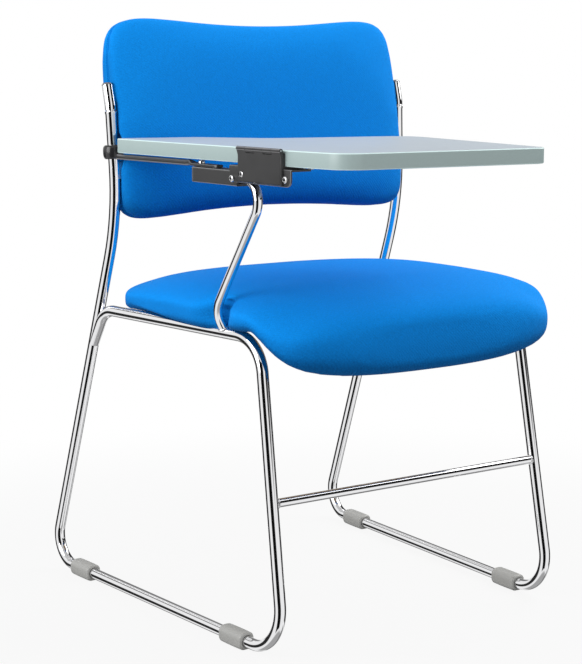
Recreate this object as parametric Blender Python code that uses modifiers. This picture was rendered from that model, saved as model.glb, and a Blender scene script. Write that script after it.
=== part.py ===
"""Stacking conference chair with a folding writing tablet on its right arm.

Two bent chrome tubes carry an upholstered seat and back. A post on the right
seat rail ends in a black bracket, and the tablet turns on a butt hinge there:
up, over and down beside the chair. Metres, +Z up, the sitter faces -Y.
"""
import math

import bmesh
import bpy
from mathutils import Matrix, Vector

# Fits
CLEAR = 0.0003          # gap left between two pieces that touch
PIN_PLAY = 0.0003       # radial play of a pin, bolt or screw in its hole
POCKET_PLAY = 0.0005    # play between padding and the board inside it

# Chrome side frames, given as half widths from the middle plane
TUBE_R = 0.008
GLIDE_SOLE = 0.0037     # plastic between the foot rail and the floor
FOOT_Z = TUBE_R + GLIDE_SOLE
FOOT_REAR_Y = 0.3825
FOOT_REAR_HALF = 0.2600
FOOT_FRONT_Y = -0.2030
FOOT_FRONT_HALF = 0.2315
FOOT_REAR_BEND = 0.040
FOOT_FRONT_BEND = 0.057
SEAT_RAIL_Z = 0.4155
RAIL_FRONT_Y = -0.132
RAIL_FRONT_HALF = 0.2195
RAIL_FRONT_BEND = 0.052
RAIL_REAR_Y = 0.2225
RAIL_REAR_HALF = 0.2515
RAIL_REAR_BEND = 0.040
RAIL_WELD_DROP = 0.053  # how far below the rail its hooked end meets the leg
KNEE_Y = 0.1825
KNEE_Z = 0.5559
KNEE_HALF = 0.2515
KNEE_BEND = 0.32
NECK_Y = 0.1910
NECK_Z = 0.7075
NECK_SPLAY = 0.0035     # how far the uprights part from the knee to the neck
NECK_HALF = KNEE_HALF + NECK_SPLAY
TIP_LENGTH = 0.029
TIP_LEAN = math.radians(15)
TIP_SHRINK = 0.90       # swaged tip, as a share of the tube's radius
TIP_STEP = 0.0025
TIP_BORE_R = 0.0045
TIP_BORE_DEPTH = 0.010
CAP_R = 0.0080
CAP_H = 0.0045
WELD_R = 0.0092

# Cross members
STRETCHER_R = 0.006
STRETCHER_Z = 0.2065
SEAT_BAR_W = 0.030
SEAT_BAR_T = 0.004
SEAT_BAR_YS = {"front": -0.060, "rear": 0.150}
SEAT_SCREW_HALF = 0.140

# Glides
GLIDE_LENGTH = 0.051
GLIDE_R = 0.0122
GLIDE_END_R = 0.0112
GLIDE_YS = {"right": {"front": -0.0980, "rear": 0.2910}, "left": {"front": -0.1075, "rear": 0.2910}}

# Seat
BOARD_T = 0.012
SEAT_SIDE_GAP = 0.0095  # from the cushion's side to the rail's axis, at the rear
SEAT_OVERHANG = 0.0340  # cushion beyond the rail's axis, at the front
SEAT_HALF_REAR = RAIL_REAR_HALF - SEAT_SIDE_GAP
SEAT_HALF_FRONT = RAIL_FRONT_HALF + SEAT_OVERHANG
SEAT_REAR_Y = 0.2465
SEAT_NOSE_Y = -0.2185
SEAT_EDGE_H = 0.040     # cushion height over the rails, along its edges
SEAT_CROWN = 0.016
SEAT_REAR_FALL = 0.010  # how much lower the rear edge is
SEAT_NOSE_FALL = 0.010
SEAT_SKIRT = 0.0070     # how far the sides hang beside the rails, at the rear
SEAT_SKIRT_FRONT_Y = -0.030
SEAT_SKIRT_RUN = 0.120
SEAT_NOSE_DROP = 0.063  # how far the front roll hangs below the seat base
SEAT_NOSE_BACK_Y = -0.1560
SEAT_NOSE_RUN = 0.030
SEAT_FOAM_REAR = 0.0245  # foam round the seat board: behind it, beside it, and before it to the roll
SEAT_FOAM_SIDE = 0.0220
SEAT_FOAM_FRONT_SIDE = 0.0485
SEAT_FOAM_FRONT = 0.0180
SEAT_BOARD_HALF_REAR = SEAT_HALF_REAR - SEAT_FOAM_SIDE
SEAT_BOARD_HALF_FRONT = SEAT_HALF_FRONT - SEAT_FOAM_FRONT_SIDE
SEAT_BOARD_REAR_Y = SEAT_REAR_Y - SEAT_FOAM_REAR
SEAT_BOARD_FRONT_Y = SEAT_NOSE_BACK_Y + SEAT_FOAM_FRONT
SEAT_BOARD_CORNER = 0.030

# Back
BACK_NIP = 0.0050       # from the pads' side to the uprights' axis at the knee
BACK_HALF = KNEE_HALF - BACK_NIP
BACK_LEAN = math.radians(8.0)
BACK_TOP_Z = 0.8200     # upper edge in the middle
BACK_TOP_RISE = 0.0235  # extra height of the upper corners
BACK_BOTTOM_Z = 0.5555
BACK_BOTTOM_DROP = 0.0195
BACK_SPLIT_Y = 0.2000   # seam between the front pad and the rear cover
BACK_FRONT_D = 0.0345
BACK_FRONT_HUG = 0.0060  # how far the sides come forward
BACK_REAR_D = 0.0295
BACK_BOARD_REAR_Y = 0.2053
BACK_BOARD_HALF = 0.205
BACK_BOARD_LOW_Z = 0.582
BACK_BOARD_HIGH_Z = 0.785
BACK_BOARD_CORNER = 0.020
TAB_T = 0.004
TAB_W = 0.024
TAB_INNER_HALF = 0.188
TAB_SCREW_HALF = 0.197
TAB_ZS = {"lower": 0.615, "upper": 0.690}

# Screws
SCREW_R = 0.0025
SCREW_HEAD_R = 0.0045
SCREW_HEAD_H = 0.0030
SOCKET_R = 0.0023
SOCKET_DEPTH = 0.0016

# Tablet: corners of its outline from above, each with its radius
TABLET_TOP_Z = 0.6635
TABLET_T = 0.020
TABLET_EDGE_X = -0.2544
TABLET_REAR_Y = 0.1625
TABLET_FRONT_Y = -0.3725
TABLET_INNER_X = 0.124
BAND_T = 0.0025
BAND_ROUND = 0.0018
TABLET_OUTLINE = (
    ((TABLET_EDGE_X - 0.0110, TABLET_REAR_Y), 0.008),
    ((-0.150, TABLET_REAR_Y - 0.027), 0.045),
    ((-0.086, 0.0425), 0.070),
    ((TABLET_INNER_X, -0.0060), 0.040),
    ((0.053, TABLET_FRONT_Y), 0.022),
    ((TABLET_EDGE_X + 0.0104, TABLET_FRONT_Y + 0.026), 0.036),
    ((TABLET_EDGE_X, -0.2575), 0.400),
    ((TABLET_EDGE_X, -0.1175), 0.400),
)

# Hinge, on an axis along Y
BARREL_R = 0.0026
PIN_R = 0.0012
LEAF_T = 0.0025
LEAF_GAP = 0.0004       # between the moving leaf and the tablet's edge
PLATE_T = 0.0040
HINGE_DROP = 0.0008     # axis below the writing surface
HINGE_INSET = 0.0008    # axis behind the plate's outer face
HEEL_R = 0.0046         # round heel of a moving knuckle, which fills its gap
HEEL_ROOM = 0.0008
STRIP_DROP = 0.0030     # the leaf's upper edge between its knuckles, below the axis
PLATE_CENTRE_Y = -0.1925
PLATE_LENGTH = 0.096
PLATE_LOW_Z = 0.6205
PLATE_ROUND = 0.0022
KNUCKLES = 5
KNUCKLE_GAP = 0.0004
LEAF_REACH = 0.062
LEAF_SCREW_XS = (0.041, 0.054)  # from the hinge axis
LEAF_SCREW_SPREAD = 0.034
LEAF_SCREW_LENGTH = 0.014
PLATE_FACE_X = TABLET_EDGE_X - LEAF_GAP - LEAF_T - CLEAR - PLATE_T
HINGE_X = PLATE_FACE_X + HINGE_INSET
HINGE_Z = TABLET_TOP_Z - HINGE_DROP

# Arm bracket
ANGLE_W = 0.031
ANGLE_WALL = 0.0025
ANGLE_REAR_Y = -0.1190
ANGLE_FRONT_Y = -0.2555
ANGLE_LOW_Z = 0.6190
ANGLE_CORNER = 0.0095
FRONT_BOLT_Y = -0.2457
FRONT_BOLT_Z = 0.6282
REAR_BOLT_Y = -0.1270
PLATE_SCREW_Y = -0.1520
PLATE_SCREW_Z = 0.6302
PLATE_SCREW_SINK = 0.0026
NUT_R = 0.0046
NUT_H = 0.0040
POST_R = 0.0062
POST_AXIS_Z = 0.6235
POST_LEAN = math.radians(35.7)
POST_CORNER_Y = -0.1880
POST_TOP_BEND = 0.028
POST_FOOT_BEND = 0.020
POST_FOOT_RISE = 0.0305
POST_END_Y = -0.0600
BOX_W = 0.0254
BOX_H = 0.020
BOX_WALL = 0.0032
BOX_FRONT_Y = -0.1320
BOX_REAR_Y = -0.0275
BOX_ROUND = 0.0022
BOX_CAP_T = 0.0030
BOX_CAP_SPIGOT = 0.010

# Brace from the bracket to the right upright
BRACE_R = 0.004
BRACE_SINK = 0.0006     # the rod hangs this far below its flat end
BRACE_TAB_T = 0.004
BRACE_TAB_W = 0.014
BRACE_TAB_FRONT_Y = -0.0790
BRACE_TAB_REAR_Y = -0.0150
BRACE_BOLT_Y = -0.0350
BRACE_OFFSET = 0.0035   # outboard of the box's middle
BRACE_BOLT_HEAD_H = 0.0042
COLLAR_R = 0.0145
COLLAR_LOW_Z = 0.6335
COLLAR_H = 0.0195
COLLAR_SPLIT = 0.0006
COLLAR_SCREW_R = 0.0015
COLLAR_SCREW_HEAD_R = 0.0026
COLLAR_SCREW_HEAD_H = 0.0020
COLLAR_SCREW_SEAT = 0.0029  # behind the upright's axis

# Facets
TUBE_SIDES = 12
TURN_STEPS = 12
BEND_STEP = math.radians(11)

# Worked out from the sizes above
BOARD_Z = SEAT_RAIL_Z + TUBE_R + CLEAR
TABLET_LOW_Z = TABLET_TOP_Z - TABLET_T
LEAF_LOW_Z = TABLET_LOW_Z - CLEAR - LEAF_T
WEB_TOP_Z = LEAF_LOW_Z - CLEAR
ANGLE_OUTER_X = PLATE_FACE_X + PLATE_T + CLEAR
ARM_X = ANGLE_OUTER_X + ANGLE_WALL + CLEAR + BOX_W / 2
BOX_TOP_Z = POST_AXIS_Z + BOX_H / 2
BACK_MID_Z = (BACK_TOP_Z + BACK_BOTTOM_Z) / 2
SIDES = {"right": -1, "left": 1}
X = Vector((1, 0, 0))
Y = Vector((0, 1, 0))
Z = Vector((0, 0, 1))


def fresh_scene():
    """Empty the scene and make the collections."""
    for obj in list(bpy.data.objects):
        bpy.data.objects.remove(obj, do_unlink=True)
    made = []
    for name in ("tablet_arm_chair", "cutters"):
        collection = bpy.data.collections.new(name)
        bpy.context.scene.collection.children.link(collection)
        made.append(collection)
    return made


PARTS, CUTTERS = fresh_scene()


def material(name, colour, roughness, metallic=0.0):
    made = bpy.data.materials.new(name)
    made.use_nodes = True
    shader = made.node_tree.nodes["Principled BSDF"]
    shader.inputs["Base Color"].default_value = (*colour, 1.0)
    shader.inputs["Roughness"].default_value = roughness
    shader.inputs["Metallic"].default_value = metallic
    return made


CHROME = material("chrome", (0.80, 0.80, 0.81), 0.08, 1.0)
FABRIC = material("blue_fabric", (0.005, 0.19, 0.78), 0.90)
PLYWOOD = material("plywood", (0.55, 0.39, 0.22), 0.65)
LAMINATE = material("pale_laminate", (0.66, 0.71, 0.78), 0.35)
EDGING = material("grey_edging", (0.45, 0.52, 0.51), 0.45)
BLACK = material("black_coat", (0.022, 0.022, 0.023), 0.40)
STEEL = material("zinc_steel", (0.60, 0.60, 0.61), 0.35, 1.0)
GREY_PLASTIC = material("grey_plastic", (0.34, 0.34, 0.33), 0.55)


def add_part(obj, finish):
    """Put a finished piece in the chair's collection, with its material."""
    for collection in list(obj.users_collection):
        collection.objects.unlink(obj)
    PARTS.objects.link(obj)
    obj.data.materials.clear()
    obj.data.materials.append(finish)
    obj.data.shade_smooth()
    obj.data.set_sharp_from_angle(angle=math.radians(35))
    return obj


def as_cutter(obj):
    """Keep a shape only as the tool of a Boolean."""
    for collection in list(obj.users_collection):
        collection.objects.unlink(obj)
    CUTTERS.objects.link(obj)
    obj.hide_render = True
    obj.display_type = "WIRE"
    return obj


def boolean(target, tool, operation="DIFFERENCE"):
    as_cutter(tool)
    modifier = target.modifiers.new(tool.name, "BOOLEAN")
    modifier.operation = operation
    modifier.object = tool
    modifier.solver = "EXACT"
    return modifier


def from_bmesh(name, shape):
    mesh = bpy.data.meshes.new(name)
    shape.to_mesh(mesh)
    shape.free()
    obj = bpy.data.objects.new(name, mesh)
    PARTS.objects.link(obj)
    return obj


def curve_to_mesh(name, curve, matrix):
    """Turn a curve into a closed mesh with welded caps."""
    guide = bpy.data.objects.new(name + "_curve", curve)
    PARTS.objects.link(guide)
    bpy.context.view_layer.update()
    evaluated = guide.evaluated_get(bpy.context.evaluated_depsgraph_get())
    mesh = bpy.data.meshes.new_from_object(evaluated)
    bpy.data.objects.remove(guide, do_unlink=True)
    shape = bmesh.new()
    shape.from_mesh(mesh)
    bpy.data.meshes.remove(mesh)
    bmesh.ops.remove_doubles(shape, verts=shape.verts, dist=1e-6)
    bmesh.ops.transform(shape, matrix=matrix, verts=shape.verts)
    bmesh.ops.recalc_face_normals(shape, faces=shape.faces)
    bmesh.ops.dissolve_limit(shape, angle_limit=1e-4, verts=shape.verts, edges=shape.edges)
    return from_bmesh(name, shape)


def fillet(before, corner, after, radius):
    """Points of the round corner between two straight runs."""
    to_before = (before - corner).normalized()
    to_after = (after - corner).normalized()
    turn = math.pi - to_before.angle(to_after)
    if radius <= 0 or turn < 1e-4:
        return [corner]
    reach = radius * math.tan(turn / 2)
    middle = (to_before + to_after).normalized()
    centre = corner + middle * (radius / math.cos(turn / 2))
    axis = to_before.cross(to_after).normalized()
    arm = corner + to_before * reach - centre
    count = max(2, math.ceil(turn / BEND_STEP))
    return [centre + Matrix.Rotation(-turn * i / count, 3, axis) @ arm for i in range(count + 1)]


def bent_path(corners, radii):
    """An open path of straight runs and arcs; radii go with the inner corners."""
    points = [corners[0]]
    for i, radius in enumerate(radii, start=1):
        points += fillet(corners[i - 1], corners[i], corners[i + 1], radius)
    return points + [corners[-1]]


def rounded_outline(corners, radii):
    """A closed outline in a plane, from its corners and their radii."""
    spots = [Vector((*corner, 0.0)) for corner in corners]
    points = []
    for i, radius in enumerate(radii):
        points += fillet(spots[i - 1], spots[i], spots[(i + 1) % len(spots)], radius)
    return [(p.x, p.y) for p in points]


def rectangle(low, high, radius=0.0):
    corners = ((low[0], low[1]), (high[0], low[1]), (high[0], high[1]), (low[0], high[1]))
    return rounded_outline(corners, [radius] * 4)


def circle(centre, radius, sides=16):
    angles = [2 * math.pi * i / sides for i in range(sides)]
    return [(centre[0] + radius * math.cos(a), centre[1] + radius * math.sin(a)) for a in angles]


def inset(corners, radii, distance):
    """Move a clockwise outline inwards, with its radii kept concentric."""
    spots = [Vector(corner) for corner in corners]
    moved = []
    changed = []
    for i, spot in enumerate(spots):
        run_in = (spot - spots[i - 1]).normalized()
        run_out = (spots[(i + 1) % len(spots)] - spot).normalized()
        normal_in = Vector((run_in.y, -run_in.x))
        normal_out = Vector((run_out.y, -run_out.x))
        turn = run_in.x * run_out.y - run_in.y * run_out.x
        middle = (normal_in + normal_out).normalized()
        moved.append(tuple(spot + middle * (distance / middle.dot(normal_in))))
        changed.append(radii[i] - distance if turn < 0 else radii[i] + distance)
    return moved, changed


def sheet(name, loops, centre, u, v, thickness):
    """A flat outline, with holes, made thick: u and v are its plane."""
    curve = bpy.data.curves.new(name, "CURVE")
    curve.dimensions = "2D"
    curve.fill_mode = "BOTH"
    curve.extrude = thickness / 2
    for loop in loops:
        spline = curve.splines.new("POLY")
        spline.points.add(len(loop) - 1)
        for point, spot in zip(spline.points, loop):
            point.co = (spot[0], spot[1], 0.0, 1.0)
        spline.use_cyclic_u = True
    normal = u.cross(v)
    turn = Matrix((u, v, normal)).transposed().to_4x4()
    return curve_to_mesh(name, curve, Matrix.Translation(centre) @ turn)


def tube(name, points, radius, shares=None, sides=TUBE_SIDES):
    """A round bar along points; shares scale its radius from point to point."""
    curve = bpy.data.curves.new(name, "CURVE")
    curve.dimensions = "3D"
    curve.bevel_depth = radius
    curve.bevel_resolution = (sides - 4) // 2
    curve.use_fill_caps = True
    spline = curve.splines.new("POLY")
    spline.points.add(len(points) - 1)
    for i, spot in enumerate(points):
        spline.points[i].co = (*spot, 1.0)
        spline.points[i].radius = shares[i] if shares else 1.0
    return curve_to_mesh(name, curve, Matrix.Identity(4))


def along(start, direction):
    """A matrix that sets +Z along a direction, with its origin at start."""
    turn = Z.rotation_difference(Vector(direction).normalized()).to_matrix().to_4x4()
    return Matrix.Translation(start) @ turn


def cylinder(name, start, end, radius, sides=TURN_STEPS):
    run = Vector(end) - Vector(start)
    shape = bmesh.new()
    bmesh.ops.create_cone(shape, cap_ends=True, segments=sides, radius1=radius, radius2=radius,
                          depth=run.length, matrix=Matrix.Translation((0, 0, run.length / 2)))
    bmesh.ops.transform(shape, matrix=along(start, run), verts=shape.verts)
    return from_bmesh(name, shape)


def block(name, low, high):
    low = Vector(low)
    high = Vector(high)
    shape = bmesh.new()
    bmesh.ops.create_cube(shape, size=1.0)
    stretch = Matrix.Diagonal((*(high - low), 1.0))
    bmesh.ops.transform(shape, matrix=Matrix.Translation((low + high) / 2) @ stretch, verts=shape.verts)
    return from_bmesh(name, shape)


def turned(name, profile, start, direction, steps=TURN_STEPS):
    """A turned piece: profile is (radius, height) from its top down."""
    mesh = bpy.data.meshes.new(name)
    edges = [(i, i + 1) for i in range(len(profile) - 1)]
    mesh.from_pydata([(r, 0.0, h) for r, h in profile], edges, [])
    obj = bpy.data.objects.new(name, mesh)
    PARTS.objects.link(obj)
    screw = obj.modifiers.new("turn", "SCREW")
    screw.steps = steps
    screw.render_steps = steps
    screw.use_merge_vertices = True
    screw.merge_threshold = 0.00001
    obj.matrix_world = along(start, direction)
    return obj


def socket_screw(name, seat, direction, length, finish, shank=SCREW_R, head=SCREW_HEAD_R,
                 head_h=SCREW_HEAD_H):
    """A socket screw: its head sits on seat and its shank runs along direction."""
    ease = head_h * 0.25
    profile = [(0, head_h), (head - ease, head_h), (head, head_h - ease), (head, CLEAR),
               (shank, CLEAR), (shank, -length), (0, -length)]
    seat = Vector(seat)
    direction = Vector(direction).normalized()
    screw = turned(name, profile, seat, -direction)
    top = seat - direction * (head_h + CLEAR)
    boolean(screw, cylinder(name + "_socket", top, top + direction * (SOCKET_DEPTH + CLEAR), SOCKET_R, 6))
    return add_part(screw, finish)


def drill(targets, name, start, end, radius):
    """One round hole through several pieces."""
    tool = cylinder(name, start, end, radius + PIN_PLAY)
    for target in targets:
        boolean(target, tool)


def loft(name, rings):
    """A closed skin through rings of equal counts, capped at both ends."""
    shape = bmesh.new()
    rows = [[shape.verts.new(spot) for spot in ring] for ring in rings]
    count = len(rows[0])
    for lower, upper in zip(rows, rows[1:]):
        for i in range(count):
            j = (i + 1) % count
            shape.faces.new((lower[i], lower[j], upper[j], upper[i]))
    shape.faces.new(rows[0])
    shape.faces.new(rows[-1])
    bmesh.ops.recalc_face_normals(shape, faces=shape.faces)
    return from_bmesh(name, shape)


def power(value, exponent):
    return math.copysign(abs(value) ** exponent, value)


def round_off(share, sharpness):
    """Falls from 1 in the middle to 0 at share 1, like a rounded corner."""
    return max(0.0, 1.0 - abs(share) ** sharpness) ** (1.0 / sharpness)


def ease(share):
    share = min(1.0, max(0.0, share))
    return share * share * (3 - 2 * share)


def spread(count, crowd):
    """Shares from -1 to 1, crowded towards both ends."""
    steps = [2 * i / (count - 1) - 1 for i in range(count)]
    return [math.copysign(1 - (1 - abs(s)) ** crowd, s) * 0.996 for s in steps]


def side_corners(sign):
    """Corners of one bent side tube, from its neck to its weld on the rear leg."""
    leg_fall = (FOOT_REAR_Y - KNEE_Y) / (KNEE_Z - FOOT_Z)
    weld_z = SEAT_RAIL_Z - RAIL_WELD_DROP
    weld_y = FOOT_REAR_Y - leg_fall * (weld_z - FOOT_Z)
    weld_half = FOOT_REAR_HALF + (KNEE_HALF - FOOT_REAR_HALF) * (weld_z - FOOT_Z) / (KNEE_Z - FOOT_Z)
    corners = (
        (NECK_HALF, NECK_Y, NECK_Z),
        (KNEE_HALF, KNEE_Y, KNEE_Z),
        (FOOT_REAR_HALF, FOOT_REAR_Y, FOOT_Z),
        (FOOT_FRONT_HALF, FOOT_FRONT_Y, FOOT_Z),
        (RAIL_FRONT_HALF, RAIL_FRONT_Y, SEAT_RAIL_Z),
        (RAIL_REAR_HALF, RAIL_REAR_Y, SEAT_RAIL_Z),
        (weld_half, weld_y, weld_z),
    )
    return [Vector((sign * half, y, z)) for half, y, z in corners]


def side_path(sign):
    radii = (KNEE_BEND, FOOT_REAR_BEND, FOOT_FRONT_BEND, RAIL_FRONT_BEND, RAIL_REAR_BEND)
    return bent_path(side_corners(sign), radii)


def tip_direction():
    return Vector((0, math.sin(TIP_LEAN), math.cos(TIP_LEAN)))


def on_run(sign, first, z):
    """The point at height z on the straight run that starts at a corner."""
    corners = side_corners(sign)
    start = corners[first]
    run = corners[first + 1] - start
    return start + run * ((z - start.z) / run.z)


def rail_half(y):
    """Half width between the seat rails at a place along them."""
    share = (y - RAIL_FRONT_Y) / (RAIL_REAR_Y - RAIL_FRONT_Y)
    return RAIL_FRONT_HALF + (RAIL_REAR_HALF - RAIL_FRONT_HALF) * share


def foot_half(y):
    share = (y - FOOT_FRONT_Y) / (FOOT_REAR_Y - FOOT_FRONT_Y)
    return FOOT_FRONT_HALF + (FOOT_REAR_HALF - FOOT_FRONT_HALF) * share


def make_side_frame(side, sign):
    """One bent tube with a swaged, leaning tip and its welded rail end."""
    path = side_path(sign)
    lean = tip_direction()
    tip = [path[0] + lean * TIP_LENGTH, path[0] + lean * TIP_STEP]
    shares = [TIP_SHRINK, TIP_SHRINK] + [1.0] * len(path)
    frame = tube(f"{side}_side_frame", tip + path, TUBE_R, shares)
    weld = cylinder(f"{side}_weld", path[-1] - Y * WELD_R, path[-1] + Y * TUBE_R * 0.5, WELD_R * 0.6, 8)
    union = boolean(frame, weld, "UNION")
    union.use_self = True
    boolean(frame, cylinder(f"{side}_tip_bore", tip[0] - lean * TIP_BORE_DEPTH, tip[0] + lean * CAP_H,
                            TIP_BORE_R + PIN_PLAY))
    add_part(frame, CHROME)
    spigot = TIP_BORE_DEPTH - CLEAR
    profile = [(0, CAP_H), (CAP_R * 0.55, CAP_H * 0.88), (CAP_R * 0.88, CAP_H * 0.55), (CAP_R, CAP_H * 0.15),
               (CAP_R, CLEAR), (TIP_BORE_R, CLEAR), (TIP_BORE_R, -spigot), (0, -spigot)]
    add_part(turned(f"{side}_upright_cap", profile, tip[0], lean), CHROME)


def clearance_tube(side, sign):
    """The side tube made a little fatter, to cope what meets it."""
    return tube(f"{side}_tube_clearance", side_path(sign), TUBE_R + CLEAR)


def make_cross_members(tubes):
    ends = [on_run(sign, 3, STRETCHER_Z) for sign in SIDES.values()]
    stretcher = tube("front_stretcher", ends, STRETCHER_R)
    bars = {}
    for place, y in SEAT_BAR_YS.items():
        half = rail_half(y) - TUBE_R / 2
        top = BOARD_Z - CLEAR
        bars[place] = block(f"{place}_seat_bar", (-half, y - SEAT_BAR_W / 2, top - SEAT_BAR_T),
                            (half, y + SEAT_BAR_W / 2, top))
        add_part(bars[place], STEEL)
    add_part(stretcher, CHROME)
    for piece in (stretcher, *bars.values()):
        for tool in tubes.values():
            boolean(piece, tool)
    return bars


def make_glide(name, sign, y):
    """A plastic sleeve on the foot rail, flat where it stands on the floor."""
    corners = side_corners(sign)
    run = (corners[3] - corners[2]).normalized()
    centre = Vector((sign * foot_half(y), y, FOOT_Z))
    half = GLIDE_LENGTH / 2
    bow = [(-1.0, 0.93), (-0.95, 1.0), (-0.5, None), (0.0, None), (0.5, None), (0.95, 1.0), (1.0, 0.93)]
    profile = [(0, half)]
    for share, scale in reversed(bow):
        radius = GLIDE_END_R * scale if scale else GLIDE_R - (GLIDE_R - GLIDE_END_R) * share * share
        profile.append((radius, half * share))
    profile.append((0, -half))
    glide = turned(name, profile, centre, run, 20)
    reach = run * GLIDE_LENGTH
    boolean(glide, cylinder(name + "_bore", centre - reach, centre + reach, TUBE_R + CLEAR, TUBE_SIDES))
    boolean(glide, block(name + "_floor", centre - Vector((GLIDE_LENGTH,) * 3),
                         centre + Vector((GLIDE_LENGTH, GLIDE_LENGTH, -FOOT_Z))))
    return add_part(glide, GREY_PLASTIC)


def make_seat(tubes, bars, post_groove):
    corners = ((-SEAT_BOARD_HALF_REAR, SEAT_BOARD_REAR_Y), (SEAT_BOARD_HALF_REAR, SEAT_BOARD_REAR_Y),
               (SEAT_BOARD_HALF_FRONT, SEAT_BOARD_FRONT_Y), (-SEAT_BOARD_HALF_FRONT, SEAT_BOARD_FRONT_Y))
    radii = [SEAT_BOARD_CORNER] * 4
    centre = Vector((0, 0, BOARD_Z + BOARD_T / 2))
    board = sheet("seat_board", [rounded_outline(corners, radii)], centre, X, Y, BOARD_T)
    add_part(board, PLYWOOD)
    wide, wide_radii = inset(corners, radii, -POCKET_PLAY)
    half_room = SEAT_BAR_W / 2 + POCKET_PLAY
    bar_rooms = [block(f"{place}_bar_room", (-RAIL_REAR_HALF, y - half_room, BOARD_Z - BOARD_T),
                       (RAIL_REAR_HALF, y + half_room, BOARD_Z))
                 for place, y in SEAT_BAR_YS.items()]
    pocket = sheet("seat_pocket", [rounded_outline(wide, wide_radii)], centre - Z * BOARD_T / 2, X, Y,
                   2 * (BOARD_T + POCKET_PLAY))
    cushion = loft("seat_cushion", seat_rings())
    for tool in (pocket, post_groove, *bar_rooms, *tubes.values()):
        boolean(cushion, tool)
    add_part(cushion, FABRIC)
    length = SEAT_BAR_T + BOARD_T * 0.8
    for place, bar in bars.items():
        for side, sign in SIDES.items():
            seat = Vector((sign * SEAT_SCREW_HALF, SEAT_BAR_YS[place], BOARD_Z - CLEAR - SEAT_BAR_T))
            name = f"{place}_{side}_seat_screw"
            drill((bar, board), name + "_hole", seat - Z * CLEAR, seat + Z * (length + CLEAR), SCREW_R)
            socket_screw(name, seat, Z, length, STEEL)


def seat_rings():
    """Cross sections of the seat from its rear roll to its hanging front roll."""
    middle = (SEAT_REAR_Y + SEAT_NOSE_Y) / 2
    reach = (SEAT_REAR_Y - SEAT_NOSE_Y) / 2
    rings = []
    for share in spread(23, 1.55):
        y = middle - share * reach
        forward = (share + 1) / 2
        width = SEAT_HALF_REAR + (SEAT_HALF_FRONT - SEAT_HALF_REAR) * forward
        half = width * round_off(share, 5.8 if share > 0 else 6.0)
        skirt = SEAT_SKIRT * ease((y - SEAT_SKIRT_FRONT_Y) / SEAT_SKIRT_RUN)
        low = BOARD_Z - skirt - SEAT_NOSE_DROP * ease((SEAT_NOSE_BACK_Y - y) / SEAT_NOSE_RUN)
        fall = SEAT_REAR_FALL * ease((0.45 - forward) / 0.45) + SEAT_NOSE_FALL * ease((forward - 0.72) / 0.28)
        top = BOARD_Z + SEAT_EDGE_H - fall
        end = round_off(share, 7.0)
        mid = (low + top) / 2 if share > 0 else low + (top - low) * 0.28
        low = mid + (low - mid) * end
        top = mid + (top - mid) * end
        belly = 0.34 + 0.50 * ease((forward - 0.80) / 0.14)
        soft = 0.34 * ease((forward - 0.55) / 0.45) + 0.22 * ease((0.25 - forward) / 0.25)
        rings.append(seat_ring(y, half, low, top, SEAT_CROWN * end * round_off(share, 2.5), belly, soft))
    return rings


def seat_ring(y, half, low, top, crown, belly, soft):
    """One cross section; belly and soft say how round its lower and upper corners are."""
    points = []
    count = 30
    for i in range(count):
        angle = 2 * math.pi * (i + 0.5) / count
        upper = math.sin(angle) > 0
        x = half * power(math.cos(angle), 0.42 + soft if upper else belly)
        level = power(math.sin(angle), 0.50 + soft / 2 if upper else belly)
        z = (low + top) / 2 + (top - low) / 2 * level
        if upper:
            z += crown * level * round_off(x / half, 2.0)
        points.append((x, y, z))
    return points


def back_edges(x):
    """Lower and upper edge of the back at a place across it."""
    share = x / BACK_HALF
    high = BACK_TOP_Z + BACK_TOP_RISE * share * share
    low = BACK_BOTTOM_Z - BACK_BOTTOM_DROP * share * share
    upper = BACK_MID_Z + (high - BACK_MID_Z) * round_off(share, 6.6)
    lower = BACK_MID_Z + (low - BACK_MID_Z) * round_off(share, 9.0)
    return lower, upper


def back_rings(depth, hug, forward, corner, edge, droop):
    """Cross sections of one padded half of the back, flat at the seam.

    corner and edge say how square its side ends and its rim are, and droop how
    round its upper corners are.
    """
    rings = []
    arc_steps = 18
    seam_steps = 4
    for share in spread(25, 1.6):
        x = share * BACK_HALF
        low, high = back_edges(x)
        reach = (depth + hug * share * share) * (0.3 + 0.7 * round_off(share, corner))
        upper = 0.64 + droop * share ** 6
        points = []
        for i in range(arc_steps + 1):
            angle = math.pi * (i / arc_steps - 0.5)
            y = BACK_SPLIT_Y + forward * (CLEAR / 2 + reach * abs(math.cos(angle)) ** edge)
            bend = upper if angle > 0 else 0.47
            points.append((x, y, (low + high) / 2 + (high - low) / 2 * power(math.sin(angle), bend)))
        for i in range(1, seam_steps):
            z = high + (low - high) * i / seam_steps
            points.append((x, BACK_SPLIT_Y + forward * CLEAR / 2, z))
        rings.append(points)
    return rings


def lean_back(pieces):
    """Tilt pieces and their cutters to the lean of the uprights."""
    pivot = bpy.data.objects.new("back_lean", None)
    pivot.location = (0, BACK_BOARD_REAR_Y, BACK_MID_Z)
    pivot.rotation_euler = (-BACK_LEAN, 0, 0)
    PARTS.objects.link(pivot)
    upright = Matrix.Translation(pivot.location).inverted()
    for piece in pieces:
        piece.parent = pivot
        piece.matrix_parent_inverse = upright


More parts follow.
